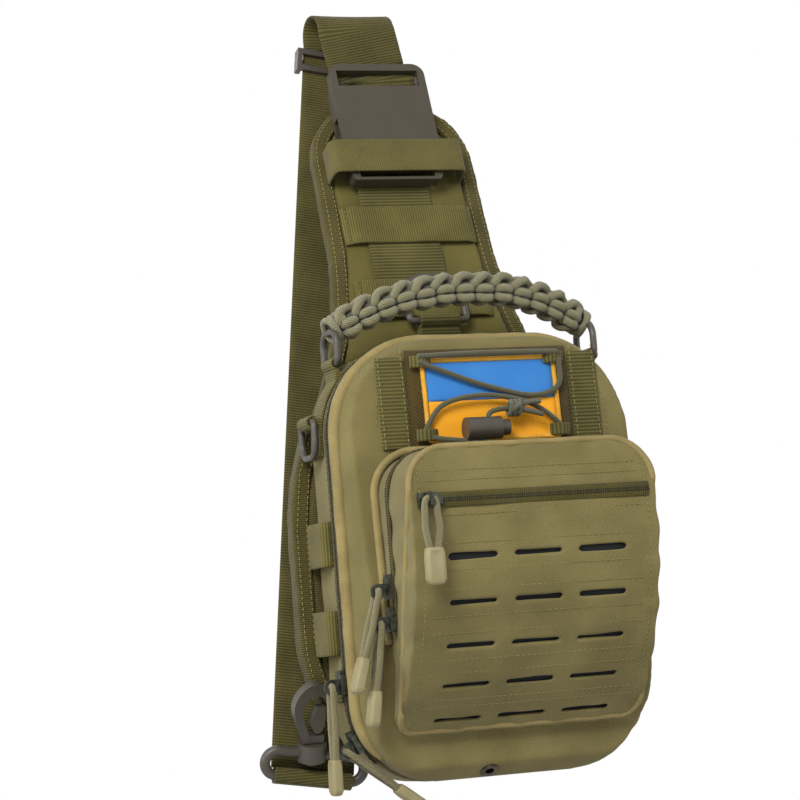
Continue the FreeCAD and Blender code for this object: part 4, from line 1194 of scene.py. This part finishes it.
# ---- handle --------------------------------------------------------------------------
def knot_form(name, side):
    """One braiding knot about a line along Z: paired strands low, one hoop high."""
    strands = []
    for facing in (1, -1):
        for height, bow, r in ((-0.9, 0.3, 2.6), (-5.6, -0.7, 2.5)):
            route = [(height + 0.4, 1.6 * facing, -3.9), (height, 5.2 * facing, -3.6),
                     (height + bow, 7.4 * facing, -2.0), (height + bow, 7.6 * facing, 1.5),
                     (height, 5.4 * facing, 3.4), (height + 0.4, 1.6 * facing, 3.7)]
            strands.append((route, r))
        lean = 1.0 + 0.25 * side * facing
        hoop = [(0.6, 5.0 * facing, -7.0), (3.2, 5.8 * facing, -5.4),
                (6.0, 5.0 * facing, -2.6 * lean), (7.3, 2.9 * facing, 1.0),
                (6.2, 0.9 * facing, 4.3 * lean), (2.6, 0.2 * facing, 6.2)]
        strands.append((hoop, 2.6))
    strands.append(([(-7.6, -4.6, -3.6), (-9.0, 0.0, -1.2), (-7.6, 4.6, 1.6)], 1.7))
    pieces = []
    for route, r in strands:
        line = curved([Vector(p) * MM for p in route], 1.6 * MM)
        pieces.append(sweep("strand", line, circle(r, 8), None, "paracord"))
    return joined(name, pieces)


class BAG_OT_handle(Step, bpy.types.Operator):
    """Braided grab handle: knots in turn round a core, wrapped at both ends"""
    bl_idname = "bag.handle"
    bl_label = "Braided handle"

    def make(self):
        y = -20.0
        route = [(-74.6, y - 1.5, 262.0), (-70, y - 2, 264.6), (-52, y - 5, 273),
                 (-25, y - 9, 280.6), (5, y - 10, 283), (35, y - 9, 281), (62, y - 5, 272),
                 (76, y - 2, 263.6), (80.6, y - 1.5, 261)]
        line = curved([at(*p) for p in route], 2.0 * MM)
        cord = "paracord"
        core = sweep("core", line, circle(4.4, 10), None, "shock_cord")
        forms = [knot_form("knot_a", 1), knot_form("knot_b", -1)]
        knots = grown("knots", [line[5:-5]], knot_tree, {
            "Knot A": forms[0], "Knot B": forms[1], "Pitch": sizes().knot_pitch,
            "Up": (0, 0, 1), "Uneven": 0.12, "Finish": finish_of(cord)})
        for form in forms:
            bpy.data.objects.remove(form)
        ends = []
        for centre, way in ((line[2], line[5] - line[0]), (line[-3], line[-1] - line[-6])):
            along = way.normalized()
            a = along.cross(ALONG_Y).normalized()
            b = along.cross(a)
            for k in range(4):
                mid = centre + along * (k - 1.5) * 3.3 * MM
                tilt = 0.28 * (-1) ** k
                ring = [mid + (a * math.cos(t) + b * math.sin(t)) * 6.6 * MM
                        + along * math.sin(t) * tilt * 6 * MM
                        for t in (2 * math.pi * i / 20 for i in range(20))]
                ends.append(sweep("wrap", ring, circle(2.1, 8), None, cord, closed=True))
        braid = joined("braided_grip", [core, knots] + ends)
        fitted(braid, "handle", "handle_braid")


# ---- hard parts: the frame's own solids with their real finishes ---------------------
HARD_FINISHES = {
    "acetal": ("left_side_ring", "right_side_ring", "yoke_ring", "handle_rings", "strap_ring",
               "hook_collar", "hook_body", "hook_gate", "tri_glide", "cord_lock_barrel",
               "cord_lock_plunger"),
    "buckle_acetal": ("buckle_socket", "buckle_plug", "buckle_arm_left", "buckle_arm_right"),
    "slider_paint": ("main_upper_slider", "main_lower_slider", "pocket_upper_slider",
                     "pocket_lower_slider", "front_slider"),
    "grommet": ("grommet",),
    "spring": ("cord_lock_spring",),
    "lining": ("slot_backing",),
}


class BAG_OT_hardware(Step, bpy.types.Operator):
    """Finishes of the moulded and metal parts"""
    bl_idname = "bag.hardware"
    bl_label = "Hardware"

    def make(self):
        for key, nodes in HARD_FINISHES.items():
            for node in nodes:
                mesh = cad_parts[node].data
                if not mesh.materials:
                    mesh.materials.append(None)
                for index in range(len(mesh.materials)):
                    mesh.materials[index] = finish_of(key)


# ---- sewing --------------------------------------------------------------------------
def panel_row(z):
    """A row of sewing across the bulged panel."""
    return [panel_point(-58 + 121 * i / 60, z, 0.15) for i in range(61)]


def slot_heights():
    """Heights of the five slot rows on the bulged panel."""
    centre_z = PANEL_Z + PANEL_R * math.sin(PANEL_SLOPE)
    return [centre_z - PANEL_R * math.sin(PANEL_SLOPE + (2.0 + row * INCH_WEB) / PANEL_R)
            for row in range(5)]


class BAG_OT_sewing(Step, bpy.types.Operator):
    """Lockstitch along the seams, bindings and webbing"""
    bl_idname = "bag.sewing"
    bl_label = "Sewing"

    def make(self):
        rows = [panel_row(z + off) for z in slot_heights() for off in (-7.2, 7.2)]
        rows += [panel_row(z) for z in (165.5, 146.5, 171.0)]
        rows += [[panel_point(x, z, 0.15) for z in range(36, 178, 2)] for x in (-64, 69)]
        sewn("panel_sewing", rows, "pocket_lid", length=2.3, gap=1.0, thick=0.5)
        zip_rows = [zip_line(-36.2, -1.2), zip_line(-33.6, -0.1)]
        sewn("rear_zip_sewing", zip_rows, "bag", thick=0.55, finish="dark_thread")
        sewn("front_zip_sewing", [zip_line(-43.2, -1.2)], "front", thick=0.55, finish="dark_thread")
        sewn("pocket_zip_sewing", [pocket_zip_line(-84.0, 1.3)], "pocket_lid", thick=0.5,
             finish="dark_thread")
        face = [at(x, front_y(z) - 0.1, z) for x, z in rounded(-66, 74, 40, 244, 30, 40) if z > 64]
        sewn("face_sewing", [face], "front", thick=0.5)
        strips = [[field_point(x0 + edge, z, 1.75) for z in range(189, 244, 2)]
                  for x0 in STRIP_X for edge in (1.6, STRIP_WIDE - 1.6)]
        sewn("strip_sewing", strips, "front", thick=0.55)
        rims = []
        for inset in (2.6, 8.2):
            for place, y, outline in ((on_yoke, -1.0, yoke_line), (on_yoke, 9.0, yoke_line),
                                      (at, -4.2, back_line), (at, 8.9, back_line)):
                rims.append(evened([place(x, y, z) for x, z in outline(inset)], 2 * MM))
        sewn("binding_sewing", rims, "bag", thick=0.55, length=2.3)
        tacks = []
        for top in CROSS_TOPS:
            for x in (-39.5, -37.0, 37.0, 39.5):
                tacks.append([on_yoke(x, -3.6, top - 1.5 - k) for k in range(0, 23, 2)])
        for x in (-27, 17):
            tacks.append([on_yoke(x, -2.6, z) for z in range(282, 368, 2)])
        tacks.append([on_yoke(x, -2.6, 282.5) for x in range(-26, 17, 2)])
        for x in (-7.4, 15.4):
            tacks.append([on_yoke(x, -2.6, z) for z in range(221, 250, 2)])
        sewn("yoke_sewing", tacks, "bag", thick=0.55, length=2.0, finish="dark_thread")
        sides = [[at(side * 92.9, y, top - 2 - k) for k in range(0, 22, 2)]
                 for side in (-1, 1) for top in LOOP_TOPS for y in (-31.6, -6.0)]
        sewn("loop_sewing", sides, "bag", thick=0.5, length=2.0, finish="dark_thread")


# ---- floor, lights and camera --------------------------------------------------------
CAMERA = {"place": (-543.29, -1445.09, 65.56), "right": (0.94197, -0.32647, -0.07822),
          "up": (0.04007, -0.12200, 0.99172), "back": (-0.33331, -0.93730, -0.10184)}
LENS, SENSOR = 118.4, 36.0
FLOOR_Z = -150.0
AIM = (0, -40, 200)
LIGHTS = (("key", (-900, -1300, 1100), 0.7, 30.5), ("side", (1400, -900, 500), 1.0, 6.0),
          ("back", (300, 1400, 900), 1.0, 9.0), ("left", (-1500, -150, 450), 0.8, 9.0))


def seen_straight(tree):
    """1 for the rays that come from the camera, off a mirror or through glass."""
    ray = add(tree, "ShaderNodeLightPath").outputs
    seen = made(tree, MATH, ray["Is Camera Ray"], ray["Is Glossy Ray"], operation="MAXIMUM")
    return made(tree, MATH, seen, ray["Is Transmission Ray"], operation="MAXIMUM")


def area_light(name, place, target, size, power):
    """A square light that faces its target."""
    data = bpy.data.lights.new(name, "AREA")
    data.size = size
    data.energy = power
    obj = placed(name, data)
    obj.location = place
    obj.rotation_euler = (target - place).to_track_quat("-Z", "Y").to_euler()


class BAG_OT_stage(Step, bpy.types.Operator):
    """Pale floor, even studio light and the camera"""
    bl_idname = "bag.stage"
    bl_label = "Floor, lights and camera"

    def make(self):
        scene = bpy.context.scene
        look = scene.bag_look
        mesh = bpy.data.meshes.new("floor")
        z = at(0, 0, FLOOR_Z).z
        mesh.from_pydata([(-8, -8, z), (8, -8, z), (8, 8, z), (-8, 8, z)], [], [(0, 1, 2, 3)])
        floor = placed("floor", mesh)
        ground, tree, shader = finish_named("Matt white floor paint")
        shader.inputs["Base Color"].default_value = (*look.ground, 1.0)
        shader.inputs["Roughness"].default_value = 0.9
        glow = add(tree, "ShaderNodeEmission", values={"Color": (1, 1, 1, 1), "Strength": 1.0})
        blend = add(tree, "ShaderNodeMixShader",
                    {0: seen_straight(tree), 1: shader.outputs[0], 2: glow.outputs[0]})
        tree.links.new(blend.outputs[0], tree.nodes["Material Output"].inputs["Surface"])
        mesh.materials.append(ground)
        world = bpy.data.worlds.new("studio")
        world.use_nodes = True
        wt = world.node_tree
        wt.nodes.clear()
        even, white = (made(wt, "ShaderNodeBackground", (1, 1, 1, 1), strength)
                       for strength in (look.fill, 1.0))
        mix = add(wt, "ShaderNodeMixShader", {0: seen_straight(wt), 1: even, 2: white})
        add(wt, "ShaderNodeOutputWorld", {"Surface": mix.outputs[0]})
        scene.world = world
        for name, place, size, power in LIGHTS:
            area_light(name, at(*place), at(*AIM), size, power)
        data = bpy.data.cameras.new("camera")
        data.lens = LENS
        data.sensor_width = SENSOR
        data.clip_end = 50.0
        camera = placed("camera", data)
        turn = Matrix((CAMERA["right"], CAMERA["up"], CAMERA["back"])).transposed()
        camera.matrix_world = Matrix.Translation(at(*CAMERA["place"])) @ turn.to_4x4()
        scene.camera = camera
        scene.view_settings.view_transform = "Standard"


# ---- panel and registration ----------------------------------------------------------
OPERATORS = (BAG_OT_stage, BAG_OT_shells, BAG_OT_piping, BAG_OT_zips, BAG_OT_pads,
             BAG_OT_yoke_webbing, BAG_OT_straps, BAG_OT_side_fittings, BAG_OT_patch_panel,
             BAG_OT_shock_cord, BAG_OT_pulls, BAG_OT_handle, BAG_OT_hardware, BAG_OT_sewing)


class BAG_PT_maker(bpy.types.Panel):
    """Sizes, colours and the steps that make the bag"""
    bl_label = "Sling bag"
    bl_idname = "BAG_PT_maker"
    bl_space_type = "VIEW_3D"
    bl_region_type = "UI"
    bl_category = "Sling bag"

    def draw(self, context):
        for group in (context.scene.bag_sizes, context.scene.bag_look):
            for key in group.bl_rna.properties.keys():
                if key not in ("rna_type", "name"):
                    self.layout.prop(group, key)
        for operator in OPERATORS:
            self.layout.operator(operator.bl_idname)


CLASSES = (BagSizes, BagLook, *OPERATORS, BAG_PT_maker)


def register():
    for kind in CLASSES:
        bpy.utils.register_class(kind)
    bpy.types.Scene.bag_sizes = PointerProperty(type=BagSizes)
    bpy.types.Scene.bag_look = PointerProperty(type=BagLook)


def unregister():
    del bpy.types.Scene.bag_look
    del bpy.types.Scene.bag_sizes
    for kind in reversed(CLASSES):
        bpy.utils.unregister_class(kind)


def main():
    register()
    for operator in OPERATORS:
        group, name = operator.bl_idname.split(".")
        getattr(getattr(bpy.ops, group), name)()


if __name__ == "__main__":
    main()
